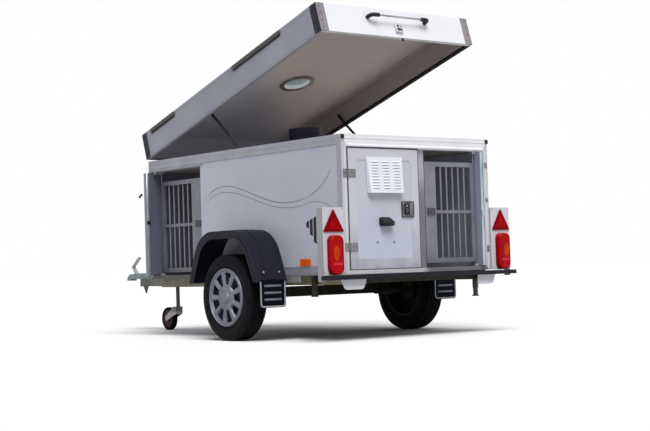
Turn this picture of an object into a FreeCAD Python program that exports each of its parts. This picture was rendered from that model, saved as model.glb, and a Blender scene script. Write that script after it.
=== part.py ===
import FreeCAD, Part
import math
import os

V = FreeCAD.Vector

# Driving dimensions of the whole trailer, in millimetres.
# X runs forward from the body's rear face, Y to the left, Z up from the ground.
body_length = 2248.0
body_width = 1232.0
body_bottom = 409.0
body_top = 1264.0
overrun = 5.0
clearance = 5.0
soft_gap = 0.3
running_gap = 0.05

# Body cage of aluminium profile
post_width = 46.0
top_rail_height = 62.0
rear_rail_height = 82.0
front_depth = 28.0
side_sill_height = 57.0
rail_thickness = 28.0
rear_sill_height = 26.0
cage_corner_radius = 7.0
panel_thickness = 28.0
panel_recess = 2.0
floor_thickness = 26.0
deck_thickness = 14.0
deck_drop = 69.0
partition_thickness = 20.0
centre_post_width = 140.0
centre_post_depth = 22.0
jamb_width = 32.0
jamb_rebate = 6.0

# Side opening for the front compartments
side_opening_length = 657.0
partition_behind_jamb = 31.0

# Outer doors
door_thickness = 20.0
door_gap = 4.0
door_top_gap = 3.0
rear_pocket_aside = 95.0
rear_door_proud = 25.0
side_door_proud = 40.0
side_door_front_gap = 4.0
side_door_width = 600.0
door_inset_depth = 3.0
door_inset_border_side = 62.0
door_inset_border_top = 70.0
door_inset_border_low = 62.0
door_inset_radius = 22.0
runner_height = 16.0
runner_wall = 3.0
runner_fit = 0.5
lock_height = 780.0
lock_width = 26.0
lock_tall = 44.0
lock_proud = 5.0

# Barred inner doors
grid_thickness = 20.0
grid_stile = 26.0
grid_latch_stile = 94.0
side_grid_latch_stile = 165.0
grid_rail = 30.0
grid_middle_rail = 20.0
grid_middle_z = 790.0
grid_bottom_gap = 30.0
grid_top_drop = 155.0
grid_bar_radius = 6.0
grid_bars = 5
grid_latch_width = 62.0
grid_latch_height = 46.0
grid_latch_proud = 7.0
grid_pin_radius = 5.0
grid_lug = 26.0
grid_block = 15.0
rear_grid_pin_aside = 109.0
side_grid_pin_behind = 83.0
side_grid_inset = 56.0
side_grid_latch_ahead = 37.0
post_gap = 4.0

# Louvred vent cover, latch and lamp on the closed rear door
cover_width = 266.0
cover_top_width = 283.0
cover_height = 221.0
cover_proud_low = 36.0
cover_proud_top = 16.0
cover_off_middle = 1.0
cover_bottom_z = 904.0
cover_wall = 3.0
louvre_columns = 3
louvre_rows = 10
louvre_width = 60.0
louvre_slot = 6.0
louvre_pitch_y = 86.0
louvre_pitch_z = 18.0
latch_size = 100.0
latch_centre_y = 96.0
latch_centre_z = 804.0
latch_proud = 6.0
latch_slot_width = 26.0
latch_slot_height = 66.0
plate_lamp_width = 94.0
plate_lamp_height = 56.0
plate_lamp_depth = 46.0
plate_lamp_in = 3.0
plate_lamp_centre_z = 728.0
plate_hole_radius = 2.5
plate_hole_spacing = 134.0
plate_hole_z = 600.0
plate_hole_in = 6.0
hinge_high_z = 1025.0
hinge_low_z = 574.0
hinge_leaf_width = 58.0
hinge_leaf_height = 50.0
hinge_leaf_thickness = 4.0
hinge_post_share = 0.8
hinge_knuckle_radius = 7.0
buffer_width = 22.0
buffer_height = 26.0
buffer_proud = 8.0

# Lid, open at rest
lid_length = 2197.0
lid_overhang = 22.0
lid_height = 191.0
lid_wall = 28.0
lid_roof = 22.0
lid_open_deg = 16.75
lid_front_gap = 4.0
lid_hinge_ahead = 8.0
lid_hinge_above = 45.0
lid_hinge_radius = 9.0
lid_hinge_pin_radius = 5.0
lid_hinge_aside = 146.0
lid_knuckle_length = 36.0
lid_leaf_thickness = 4.0
corner_width = 46.0
corner_thickness = 5.0
seal_width = 16.0
seal_height = 3.0
seal_inset = 4.0
handle_span = 420.0
handle_height_on_lid = 122.0
handle_reach = 46.0
handle_foot_radius = 13.0
handle_rod_radius = 6.0
handle_foot_length = 62.0
lid_lock_width = 62.0
lid_lock_height = 60.0
lid_lock_depth = 14.0
lid_lock_centre_h = 62.0
vent_along = 1090.0
vent_outer_radius = 122.0
vent_hole_radius = 96.0
vent_ring_height = 10.0
vent_cap_radius = 150.0
vent_cap_height = 26.0
hood_starts = (135.0, 1240.0)
hood_lengths = (330.0, 560.0)
hood_height = 26.0
hood_proud = 12.0
hood_slot_height = 12.0
hood_top_h = 184.0
duct_radius = 115.0
duct_wall = 4.0
duct_top = 158.0
duct_ribs = 3
duct_rib_depth = 5.0
duct_rib_height = 12.0

# Gas struts
strut_off_wall = 36.0
strut_pin_along = 782.0
strut_pin_height = 72.0
strut_low_x = 1078.0
strut_low_drop = 49.0
strut_tube_radius = 9.0
strut_rod_radius = 5.0
strut_tube_share = 0.56
strut_eye_radius = 11.0
strut_eye_thickness = 8.0
strut_bore_spare = 30.0
strut_overlap = 30.0
strut_gap = 1.0
strut_stud_radius = 4.0
strut_bracket_size = 34.0

# Wheels and axle
wheel_x = 978.0
tyre_radius = 281.0
tyre_width = 164.0
tyre_flat = 118.0
tyre_shoulder = 14.0
tyre_side_radius = 45.0
tyre_bead_radius = 176.0
hub_face_out = 216.0
hubcap_radius = 190.0
hubcap_depth = 16.0
hubcap_lip = 12.0
hubcap_wall = 4.0
hubcap_dish = 6.0
hubcap_spokes = 9
spoke_window_inner = 84.0
spoke_window_outer = 163.0
spoke_window_deg = 14.5
hubcap_nose_radius = 34.0
hubcap_nose_proud = 8.0
rim_width = 120.0
rim_wall = 6.0
rim_disc_thickness = 6.0
rim_disc_offset = 34.0
hub_radius = 62.0
hub_length = 44.0
stub_radius = 20.0
axle_ahead = 150.0
axle_size = 70.0
axle_z = 300.0
arm_thickness = 26.0
arm_root_radius = 42.0
arm_tip_radius = 30.0

# Chassis, drawbar and coupling
rail_height = 60.0
rail_width = 42.0
rail_aside = 76.0
rail_wall = 4.0
rail_front_x = 2190.0
cross_member_x = (60.0, 1129.0, 1935.0)
cross_width = 50.0
arm_start_x = 1960.0
arm_start_in = 130.0
arm_end_x = 3190.0
arm_end_y = 34.0
arm_width = 50.0
nose_start_x = 3120.0
nose_end_x = 3340.0
nose_half_width = 62.0
lug_x = 3386.0
lug_half = 36.0
lug_drop = 60.0
lug_thickness = 8.0
coupling_start_x = 3250.0
coupling_nose_x = 3612.0
coupling_ball_radius = 25.3
coupling_shell_radius = 40.0
coupling_body_half = 28.0
coupling_height = 46.0
lever_rise = 126.0
lever_top_back = 50.0
lever_knee_ahead = 60.0
lever_knee_rise = 52.0
lever_width = 26.0
lever_thickness = 9.0
lever_foot_x = 3486.0

# Jockey wheel and rear stands
jockey_x = 2872.0
jockey_y = 0.0
jockey_tube_radius = 15.0
jockey_tube_bottom = 186.0
jockey_tube_top = 700.0
jockey_wall = 3.0
jockey_clamp_radius = 30.0
jockey_clamp_height = 60.0
jockey_clamp_lug = 44.0
jockey_crank_reach = 110.0
jockey_crank_radius = 6.0
jockey_grip_radius = 11.0
jockey_grip_length = 90.0
jockey_trail = 130.0
jockey_wheel_radius = 90.0
jockey_wheel_width = 42.0
jockey_hub_radius = 24.0
jockey_fork_thickness = 5.0
jockey_fork_gap = 6.0
jockey_fork_width = 30.0
jockey_pin_radius = 8.0
jockey_stem_radius = 10.0
jockey_stem_length = 60.0
jockey_foot_height = 58.0
stand_left_x = 345.0
stand_right_x = 122.0
stand_aside = 33.0
stand_radius = 19.0
stand_left_bottom = 275.0
stand_right_bottom = 238.0
stand_top = 396.0
stand_wall = 3.0
stand_sleeve_bottom = 290.0
stand_foot_radius = 23.0
stand_foot_height = 8.0

# Mudguards and flaps
guard_centre_x = 987.0
guard_bottom_z = 376.0
guard_half_bottom = 402.0
guard_half_top = 272.0
guard_top_z = 714.0
guard_radius = 235.0
guard_wall = 4.0
guard_reach = 224.0
guard_lip_depth = 52.0
guard_step = 20.0
guard_ridge_width = 12.0
guard_ridge_proud = 4.0
guard_band_proud = 3.0
guard_band_out = 60.0
guard_band_width = 96.0
flap_top_z = 388.0
flap_bottom_z = 214.0
flap_out = 18.0
flap_width = 202.0
flap_thickness = 5.0
flap_corner = 22.0

# Rear lamps and bar
board_gap = 5.0
board_width = 162.0
board_top_z = 816.0
board_bottom_z = 408.0
board_back_x = -4.0
board_thickness = 4.0
board_tab = 34.0
triangle_side = 158.0
triangle_base_z = 668.0
triangle_depth = 8.0
lamp_width = 100.0
lamp_height = 236.0
lamp_bottom_z = 412.0
lamp_depth = 44.0
bar_reach = 196.0
bar_height = 26.0
bar_depth = 42.0
bar_top_z = 405.0
bar_front_x = -6.0
bracket_top_half = 112.0
bracket_low_half = 68.0
bracket_height = 62.0
bracket_thickness = 5.0
bracket_aside = 68.0
marker_x = 385.0
marker_z = 491.0
marker_length = 96.0
marker_height = 42.0
marker_proud = 12.0

# Sizes worked out from the ones above
half_width = body_width / 2
side_opening_rear = body_length - front_depth - side_opening_length
cross_partition_x = side_opening_rear - jamb_width - partition_behind_jamb
side_grid_pin_x = body_length - side_grid_pin_behind
side_grid_latch_x = side_opening_rear + side_grid_latch_ahead
rail_inner = half_width - rail_thickness
wall_inner = half_width - post_width
pocket_in = half_width - rear_pocket_aside
rear_grid_pin_y = half_width - rear_grid_pin_aside
side_grid_face_y = half_width - side_grid_inset
cover_centre_y = wall_inner / 2 + cover_off_middle
plate_lamp_centre_y = cover_centre_y - plate_lamp_in
plate_hole_centre_y = cover_centre_y - plate_hole_in
lid_half_width = half_width + lid_overhang
lid_hinge_span = half_width - lid_hinge_aside
strut_y = lid_half_width - lid_wall - strut_off_wall
hub_face_y = half_width + hub_face_out
rail_half_gauge = half_width - rail_aside
arm_start_y = rail_half_gauge - arm_start_in
stand_y = half_width - stand_aside
guard_outer_y = half_width + guard_reach
guard_band_start = half_width + guard_band_out
flap_inner_y = half_width + flap_out
flap_outer_y = flap_inner_y + flap_width
board_inner_y = half_width + board_gap
board_outer_y = board_inner_y + board_width
bar_half_length = half_width + bar_reach
bracket_centre_y = half_width - bracket_aside
floor_top = body_bottom + floor_thickness
deck_top = body_top - deck_drop
deck_bottom = deck_top - deck_thickness
sill_top = body_bottom + side_sill_height
rear_sill_top = body_bottom + rear_sill_height
rail_rear_x = bar_front_x + bracket_thickness
rail_bottom = body_top - top_rail_height
rear_rail_bottom = body_top - rear_rail_height
rail_top_z = body_bottom
rail_low_z = body_bottom - rail_height
panel_out = half_width - panel_recess
panel_in = panel_out - panel_thickness
coupling_ball_x = coupling_nose_x - coupling_shell_radius
axle_half = rail_half_gauge + rail_width / 2
rear_end_x = board_back_x - board_thickness - lamp_depth
centre_x = (coupling_nose_x + rear_end_x) / 2
hinge_x = body_length + lid_hinge_ahead
lid_bottom = body_top + clearance + seal_height
hinge_z = lid_bottom + lid_hinge_above
lid_front_x = body_length - lid_front_gap
wheel_z = tyre_radius


def box(x0, x1, y0, y1, z0, z1):
    """A block between two corners."""
    return Part.makeBox(x1 - x0, y1 - y0, z1 - z0, V(x0, y0, z0))


def rod(radius, start, end):
    """A round bar from one point to another."""
    line = end - start
    return Part.makeCylinder(radius, line.Length, start, line)


def side_plane(a, b):
    return V(a, 0, b)


def rear_plane(a, b):
    return V(0, a, b)


def top_plane(a, b):
    return V(a, b, 0)


def rounded_edges(corners, closed, place):
    """Straight runs joined by tangent arcs; a corner is (a, b, radius)."""
    points = [V(a, b, 0) for a, b, radius in corners]
    radii = [radius for a, b, radius in corners]
    count = len(points)
    runs = []
    for i in range(count):
        here = points[i]
        if radii[i] == 0 or (not closed and i in (0, count - 1)):
            runs.append((here, here, here))
            continue
        back = (points[i - 1] - here).normalize()
        ahead = (points[(i + 1) % count] - here).normalize()
        half_turn = back.getAngle(ahead) / 2
        reach = radii[i] / math.tan(half_turn)
        middle = (back + ahead).normalize()
        centre = here + middle * (radii[i] / math.sin(half_turn))
        runs.append((here + back * reach, centre - middle * radii[i], here + ahead * reach))
    edges = []
    steps = count if closed else count - 1
    for i in range(count):
        start, middle, end = (place(p.x, p.y) for p in runs[i])
        if (end - start).Length > 0:
            edges.append(Part.Arc(start, middle, end).toShape())
        if i < steps:
            following = runs[(i + 1) % count][0]
            nxt = place(following.x, following.y)
            if (nxt - end).Length > 0:
                edges.append(Part.makeLine(end, nxt))
    return edges


def slab(corners, place, start, depth):
    """A flat outline pushed along its plane's normal, from start over depth."""
    face = Part.Face(Part.Wire(rounded_edges(corners, True, place)))
    normal = {side_plane: V(0, 1, 0), rear_plane: V(1, 0, 0), top_plane: V(0, 0, 1)}[place]
    face.translate(normal * start)
    return face.extrude(normal * depth)


def rectangle(a0, a1, b0, b1, radius):
    return [(a0, b0, radius), (a1, b0, radius), (a1, b1, radius), (a0, b1, radius)]


def mirrored(shape):
    """The same piece on the right side."""
    return shape.mirror(V(0, 0, 0), V(0, 1, 0))


def both_sides(shape):
    return Part.Compound([shape, mirrored(shape)])


def fused(shapes):
    whole = shapes[0].fuse(shapes[1:]) if len(shapes) > 1 else shapes[0]
    return whole.removeSplitter()


def lid_place(shape):
    """Turns a piece drawn on the closed lid to the lid's open angle."""
    turned = shape.copy()
    turned.rotate(V(hinge_x, 0, hinge_z), V(0, 1, 0), lid_open_deg)
    return turned


def lid_point(along, height, y):
    """A point of the open lid, from its place along and above the closed lid's front low edge."""
    dx = lid_front_x - along - hinge_x
    dz = lid_bottom + height - hinge_z
    turn = math.radians(lid_open_deg)
    return V(
        hinge_x + dx * math.cos(turn) + dz * math.sin(turn),
        y,
        hinge_z - dx * math.sin(turn) + dz * math.cos(turn),
    )


def body_frame():
    """Corner posts, rails and sills, with the jambs and the barred doors' pivot blocks."""
    rear_post = slab(
        [
            (0, wall_inner, 0),
            (post_width, wall_inner, 0),
            (post_width, half_width, 0),
            (0, half_width, cage_corner_radius),
        ],
        top_plane, body_bottom, body_top - body_bottom,
    )
    front_start = body_length - front_depth
    front_post = slab(
        [
            (front_start, wall_inner, 0),
            (body_length, wall_inner, 0),
            (body_length, half_width, cage_corner_radius),
            (front_start, half_width, 0),
        ],
        top_plane, body_bottom, body_top - body_bottom,
    )
    side_rail = box(post_width, front_start, rail_inner, half_width, rail_bottom, body_top)
    side_sill = box(post_width, side_opening_rear, wall_inner, half_width, body_bottom, sill_top)
    threshold = box(side_opening_rear, front_start, wall_inner, half_width, body_bottom, floor_top)
    header = box(side_opening_rear - jamb_width, front_start, panel_in, half_width, deck_bottom, rail_bottom)
    jamb = box(side_opening_rear - jamb_width, side_opening_rear, wall_inner, panel_in + jamb_rebate,
               sill_top, deck_bottom)
    left = [rear_post, front_post, side_rail, side_sill, threshold, header, jamb, side_pivot_blocks()]
    right = [mirrored(piece) for piece in left]
    across = [
        box(0, post_width, -wall_inner, wall_inner, rear_rail_bottom, body_top),
        box(0, post_width, -wall_inner, wall_inner, body_bottom, rear_sill_top),
        box(front_start, body_length, -wall_inner, wall_inner, rail_bottom, body_top),
        box(front_start, body_length, -wall_inner, wall_inner, body_bottom, sill_top),
        centre_post(),
        rear_pivot_blocks(),
    ]
    return fused(left + right + across)


def centre_post():
    start = door_thickness + post_gap
    half = centre_post_width / 2
    return box(start, start + centre_post_depth, -half, half, rear_sill_top, rear_rail_bottom)


def pivot_pair(x, y, low_z, high_z):
    """The low and the high block that hold a barred door's upright pin."""
    hole = grid_pin_radius + running_gap
    half = grid_lug / 2
    low = box(x - half, x + half, y - half, y + half, low_z, low_z + grid_block)
    high = box(x - half, x + half, y - half, y + half, high_z - grid_block, high_z)
    pin = rod(hole, V(x, y, low_z + soft_gap), V(x, y, high_z - soft_gap))
    return low.cut(pin), high.cut(pin)


def rear_grid_axis():
    return V(door_thickness + post_gap + grid_pin_radius, -rear_grid_pin_y, 0)


def side_grid_axis():
    return V(side_grid_pin_x, side_grid_face_y - grid_pin_radius, 0)


def rear_pivot_blocks():
    axis = rear_grid_axis()
    low, high = pivot_pair(axis.x, axis.y, rear_sill_top, rear_rail_bottom)
    return Part.Compound([low, high])


def side_pivot_blocks():
    """Blocks on the sill's inner face and under the header."""
    axis = side_grid_axis()
    low, high = pivot_pair(axis.x, axis.y, floor_top, deck_bottom)
    half = grid_lug / 2
    low_arm = box(axis.x - half, axis.x + half, axis.y + half, rail_inner, floor_top, floor_top + grid_block)
    high_arm = box(axis.x - half, axis.x + half, axis.y + half, panel_out,
                   deck_bottom - grid_block, deck_bottom)
    return Part.Compound([low.fuse(low_arm), high.fuse(high_arm)])


def floor_panel():
    return box(post_width, body_length - front_depth, -wall_inner, wall_inner, body_bottom, floor_top)


def side_panels():
    panel = box(post_width, side_opening_rear, panel_in, panel_out, sill_top, rail_bottom)
    front = side_opening_rear - jamb_width
    panel = panel.cut(box(front, side_opening_rear, panel_in, half_width, deck_bottom, rail_bottom))
    panel = panel.cut(box(front, side_opening_rear, panel_in, panel_in + jamb_rebate, sill_top, deck_bottom))
    return both_sides(panel)


def front_panel():
    start = body_length - front_depth
    return box(start, body_length - panel_recess, -wall_inner, wall_inner, sill_top, rail_bottom)


def ceiling_deck():
    """The flat lid of the compartments, with the hole under the air duct."""
    deck = box(post_width, body_length - front_depth, -panel_in, panel_in, deck_bottom, deck_top)
    axis = V(duct_x(), 0, deck_bottom)
    bore = rod(duct_radius - duct_wall, axis - V(0, 0, overrun), axis + V(0, 0, deck_thickness + overrun))
    return deck.cut(bore)


def duct_x():
    return lid_front_x - vent_along


def partitions():
    """The wall across the body and the two walls along its middle, as one T-jointed piece."""
    half = partition_thickness / 2
    post_back = door_thickness + post_gap + centre_post_depth
    front_end = body_length - front_depth - side_door_front_gap - door_thickness - overrun
    across = box(cross_partition_x, cross_partition_x + partition_thickness, -wall_inner, wall_inner,
                 floor_top, deck_bottom)
    rear = box(post_back, cross_partition_x, -half, half, floor_top, deck_bottom)
    front = box(cross_partition_x, front_end, -half, half, floor_top, deck_bottom)
    return fused([across, rear, front])


def outer_door(width, low, high):
    """A flat insulated door standing in the YZ plane, from y 0 to its width, outside towards -X."""
    leaf = slab(rectangle(0, width, low, high, door_gap), rear_plane, 0, door_thickness)
    inset = slab(
        rectangle(
            door_inset_border_side, width - door_inset_border_side,
            low + door_inset_border_low, high - door_inset_border_top, door_inset_radius,
        ),
        rear_plane, -overrun, door_inset_depth + overrun,
    )
    return leaf.cut(inset)


def rear_door_width():
    return wall_inner - door_gap


def door_lock(width):
    """The lock plate on a door's closing edge."""
    half = lock_tall / 2
    return box(
        (door_thickness - lock_width / 2) / 2, (door_thickness + lock_width / 2) / 2,
        -lock_proud, 0, lock_height - half, lock_height + half,
    )


def rear_door_left():
    """The closed door on the left of the rear."""
    door = outer_door(rear_door_width(), rear_sill_top + door_gap, deck_bottom - door_top_gap)
    for side in (-1, 1):
        y = plate_hole_centre_y + side * plate_hole_spacing / 2
        start = V(-overrun, y, plate_hole_z)
        door = door.cut(rod(plate_hole_radius, start, start + V(door_thickness + overrun * 2, 0, 0)))
    return door


def rear_door_right():
    """The right door, swung square and slid into the pocket beside its compartment."""
    width = rear_door_width()
    door = outer_door(width, rear_sill_top + door_gap, deck_bottom - door_top_gap)
    door = door.fuse(door_lock(width))
    door.rotate(V(0, 0, 0), V(0, 0, 1), -90)
    door.translate(V(-rear_door_proud, -pocket_in, 0))
    return door


def side_door_left():
    """The left side door, slid into the pocket behind the front wall."""
    door = outer_door(side_door_width, floor_top + door_gap, deck_bottom - door_top_gap)
    door = door.fuse(door_lock(side_door_width))
    door.rotate(V(0, 0, 0), V(0, 0, 1), 180)
    back = body_length - front_depth - side_door_front_gap
    door.translate(V(back, half_width + side_door_proud, 0))
    return door


def side_doors():
    return both_sides(side_door_left())


def runner(length, floor_z, door_z):
    """A floor channel along X that a slid-in door stands in."""
    half = door_thickness / 2 + runner_fit
    outer = box(0, length, -half - runner_wall, half + runner_wall, floor_z, door_z + runner_height)
    groove = box(-overrun, length + overrun, -half, half,
                 door_z - runner_fit, door_z + runner_height + overrun)
    return outer.cut(groove)


def door_runners():
    rear = runner(rear_door_width() - rear_door_proud - post_width, floor_top, rear_sill_top + door_gap)
    rear.translate(V(post_width, -pocket_in - door_thickness / 2, 0))
    side = runner(side_door_width - side_door_proud - post_width, floor_top, floor_top + door_gap)
    side.rotate(V(0, 0, 0), V(0, 0, 1), -90)
    centre = body_length - front_depth - side_door_front_gap - door_thickness / 2
    side.translate(V(centre, wall_inner, 0))
    return Part.Compound([rear, side, mirrored(side)])


def grid_door(width, latch_stile, low, high, pin_low, pin_high):
    """A barred door along +X from its pin, outer face at y 0 and thickness towards +Y."""
    start = grid_pin_radius
    inner = grid_thickness
    latch_start = width - latch_stile
    pieces = [
        box(start, start + grid_stile, 0, inner, low, high),
        box(latch_start, width, 0, inner, low, high),
        box(start, width, 0, inner, low, low + grid_rail),
        box(start, width, 0, inner, high - grid_rail, high),
        box(start, width, inner / 4, inner * 3 / 4,
            grid_middle_z - grid_middle_rail / 2, grid_middle_z + grid_middle_rail / 2),
        rod(grid_pin_radius, V(0, start, pin_low), V(0, start, pin_high)),
        box(0, start, 0, inner, low, high),
        box(
            (latch_start + width - grid_latch_width) / 2, (latch_start + width + grid_latch_width) / 2,
            -grid_latch_proud, 0,
            grid_middle_z - grid_latch_height / 2, grid_middle_z + grid_latch_height / 2,
        ),
    ]
    bars_from = start + grid_stile
    pitch = (latch_start - bars_from) / (grid_bars + 1)
    for i in range(grid_bars):
        x = bars_from + pitch * (i + 1)
        foot = V(x, inner / 2, low + grid_rail / 2)
        head = V(x, inner / 2, high - grid_rail / 2)
        pieces.append(rod(grid_bar_radius, foot, head))
    return fused(pieces)


def barred_door_rear():
    axis = rear_grid_axis()
    width = rear_grid_pin_y - centre_post_width / 2 - clearance
    door = grid_door(
        width, grid_latch_stile, rear_sill_top + grid_bottom_gap, body_top - grid_top_drop,
        rear_sill_top + clearance / 2, rear_rail_bottom - clearance / 2,
    )
    door = door.mirror(V(0, 0, 0), V(0, 1, 0))
    door.rotate(V(0, 0, 0), V(0, 0, 1), 90)
    door.translate(V(axis.x - grid_pin_radius, axis.y, 0))
    return door


def barred_door_left():
    axis = side_grid_axis()
    door = grid_door(
        side_grid_pin_x - side_grid_latch_x, side_grid_latch_stile,
        floor_top + grid_block + clearance, body_top - grid_top_drop,
        floor_top + clearance / 2, deck_bottom - clearance / 2,
    )
    door.rotate(V(0, 0, 0), V(0, 0, 1), 180)
    door.translate(V(axis.x, axis.y + grid_pin_radius, 0))
    return door


def vent_cover():
    """The louvred cover: a wedge-sided box, open behind, with rows of slots in its face."""
    half_low = cover_width / 2
    half_top = cover_top_width / 2
    top_z = cover_bottom_z + cover_height

    def hull(inset, back):
        wires = []
        for half, depth, z in (
            (half_low - inset, cover_proud_low - inset, cover_bottom_z + inset),
            (half_top - inset, cover_proud_top - inset, top_z - inset),
        ):
            points = [V(back, -half, z), V(-depth, -half, z), V(-depth, half, z), V(back, half, z)]
            wires.append(Part.makePolygon(points + [points[0]]))
        return Part.makeLoft(wires, True, True)

    cover = hull(0, 0).cut(hull(cover_wall, overrun))
    first_y = -louvre_pitch_y * (louvre_columns - 1) / 2
    first_z = (cover_height - louvre_pitch_z * (louvre_rows - 1)) / 2 + cover_bottom_z
    slots = []
    for i in range(louvre_columns):
        for j in range(louvre_rows):
            y = first_y + louvre_pitch_y * i
            z = first_z + louvre_pitch_z * j
            slots.append(box(-cover_proud_low - overrun, -cover_wall,
                             y - louvre_width / 2, y + louvre_width / 2,
                             z - louvre_slot / 2, z + louvre_slot / 2))
    cover = cover.cut(Part.Compound(slots))
    cover.translate(V(0, cover_centre_y, 0))
    return cover


def door_fittings():
    """Two strap hinges and the square latch plate of the closed rear door."""
    edge = wall_inner - door_gap / 2
    pieces = []
    for z in (hinge_high_z, hinge_low_z):
        low = z - hinge_leaf_height / 2
        leaf = box(-hinge_leaf_thickness, 0, edge - hinge_leaf_width, edge + post_width * hinge_post_share,
                   low, low + hinge_leaf_height)
        knuckle = rod(hinge_knuckle_radius, V(-hinge_leaf_thickness, edge, low),
                      V(-hinge_leaf_thickness, edge, low + hinge_leaf_height))
        knuckle = knuckle.common(box(-post_width, 0, -half_width, half_width, 0, body_top))
        pieces.append(leaf.fuse(knuckle))
    half = latch_size / 2
    plate = slab(
        rectangle(latch_centre_y - half, latch_centre_y + half, latch_centre_z - half, latch_centre_z + half,
                  latch_proud),
        rear_plane, -latch_proud, latch_proud + door_inset_depth,
    )
    slot_half = latch_slot_height / 2
    slot = box(-latch_proud - overrun, -latch_proud / 2, latch_centre_y - latch_slot_width / 2,
               latch_centre_y + latch_slot_width / 2, latch_centre_z - slot_half, latch_centre_z + slot_half)
    pieces.append(plate.cut(slot).cut(rear_door_left()))
    return Part.Compound(pieces)


def corner_buffers():
    """Round-edged rubber buffers at the rear posts' top corners."""
    pad = slab(
        rectangle(half_width - buffer_width, half_width,
                  body_top - buffer_height - door_gap, body_top - door_gap, buffer_proud / 2),
        rear_plane, -buffer_proud, buffer_proud,
    )
    return both_sides(pad)


def plate_lamp():
    """The number-plate lamp: a wedge with its light face turned down."""
    half = plate_lamp_height / 2
    z = plate_lamp_centre_z
    profile = [
        (door_inset_depth, z - half, 0),
        (-plate_lamp_depth, z - half, door_inset_depth),
        (-plate_lamp_depth, z, door_inset_depth),
        (door_inset_depth, z + half, 0),
    ]
    return slab(profile, side_plane, plate_lamp_centre_y - plate_lamp_width / 2, plate_lamp_width)


def lid_box(s0, s1, y0, y1, h0, h1):
    """A block on the closed lid: s back from its front edge, h up from its lower edge."""
    return box(lid_front_x - s1, lid_front_x - s0, y0, y1, lid_bottom + h0, lid_bottom + h1)


def corner_profiles():
    pieces = []
    for s0, s1, t in ((0, corner_width, 0), (lid_length - corner_width, lid_length, lid_length)):
        block = lid_box(s0, s1, lid_half_width - corner_width, lid_half_width, 0, lid_height)
        inner0 = corner_thickness if t == 0 else s0 - overrun
        inner1 = s1 + overrun if t == 0 else lid_length - corner_thickness
        core = lid_box(inner0, inner1, lid_half_width - corner_width - overrun,
                       lid_half_width - corner_thickness, -overrun, lid_height + overrun)
        piece = block.cut(core)
        pieces += [piece, mirrored(piece)]
    return Part.Compound(pieces)


def lid_shell():
    """Roof and four walls, with the vent's hole and the side slots; the corners are separate."""
    shell = lid_box(0, lid_length, -lid_half_width, lid_half_width, 0, lid_height)
    inner = lid_half_width - lid_wall
    hollow = lid_box(lid_wall, lid_length - lid_wall, -inner, inner, -overrun, lid_height - lid_roof)
    shell = shell.cut(hollow)
    centre = V(duct_x(), 0, lid_bottom)
    shell = shell.cut(rod(vent_hole_radius, centre, centre + V(0, 0, lid_height + overrun)))
    shell = shell.cut(corner_profiles())
    leaves = []
    for y in (-lid_hinge_span, lid_hinge_span):
        leaf = box(lid_front_x, hinge_x + lid_leaf_thickness / 2, y - lid_knuckle_length / 2,
                   y + lid_knuckle_length / 2, hinge_z - lid_leaf_thickness, hinge_z + lid_leaf_thickness)
        knuckle = rod(lid_hinge_radius, V(hinge_x, y - lid_knuckle_length / 2, hinge_z),
                      V(hinge_x, y + lid_knuckle_length / 2, hinge_z))
        pin = rod(lid_hinge_pin_radius + running_gap, V(hinge_x, y - lid_knuckle_length, hinge_z),
                  V(hinge_x, y + lid_knuckle_length, hinge_z))
        leaves.append(leaf.fuse(knuckle).cut(pin))
    front_wall = lid_box(0, lid_wall, -lid_half_width, lid_half_width, 0, lid_height)
    for leaf in leaves:
        shell = shell.fuse(leaf.cut(front_wall))
    for start, length in zip(hood_starts, hood_lengths):
        low = hood_top_h - hood_height
        slot = lid_box(start, start + length, lid_half_width - lid_wall - overrun, lid_half_width + overrun,
                       low - hood_slot_height, low)
        shell = shell.cut(slot).cut(mirrored(slot))
    return lid_place(shell)


def lid_hinge_brackets():
    """The fixed halves of the lid's hinges, with their pins, on the front rail."""
    pieces = []
    for y in (-lid_hinge_span, lid_hinge_span):
        half = lid_knuckle_length / 2
        pin = rod(lid_hinge_pin_radius, V(hinge_x, y - half * 2, hinge_z), V(hinge_x, y + half * 2, hinge_z))
        ends = [pin]
        for side in (-1, 1):
            near = y + side * (half + running_gap)
            far = y + side * half * 2
            y0, y1 = min(near, far), max(near, far)
            ends.append(rod(lid_hinge_radius, V(hinge_x, y0, hinge_z), V(hinge_x, y1, hinge_z)))
            ends.append(box(body_length, body_length + lid_leaf_thickness, y0, y1,
                            rail_bottom, hinge_z))
        pieces.append(fused(ends))
    return Part.Compound(pieces)


def lid_seal():
    """The rubber strip under the lid's walls."""
    outer = lid_half_width - seal_inset
    ring = lid_box(seal_inset, lid_length - seal_inset, -outer, outer, -seal_height, 0)
    ring = ring.cut(lid_box(
        seal_inset + seal_width, lid_length - seal_inset - seal_width,
        -outer + seal_width, outer - seal_width, -seal_height - overrun, overrun,
    ))
    return lid_place(ring)


def lid_handle():
    """A bow handle: two curved feet and a round rod between them."""
    back = lid_front_x - lid_length
    z = lid_bottom + handle_height_on_lid
    half = handle_span / 2
    reach = back - handle_reach
    pieces = [rod(handle_rod_radius, V(reach, -half, z), V(reach, half, z))]
    for side in (-1, 1):
        far = side * (half + handle_foot_length / 2)
        near = side * (half - handle_foot_length / 2)
        path = rounded_edges(
            [(back, far, 0), (reach, far, handle_foot_radius * 2), (reach, near, 0)],
            False, top_plane,
        )
        wire = Part.Wire(path)
        wire.translate(V(0, 0, z))
        circle = Part.Wire(Part.makeCircle(handle_foot_radius, V(back, far, z), V(1, 0, 0)))
        pieces.append(wire.makePipeShell([circle], True, True))
    return lid_place(fused(pieces))


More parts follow.
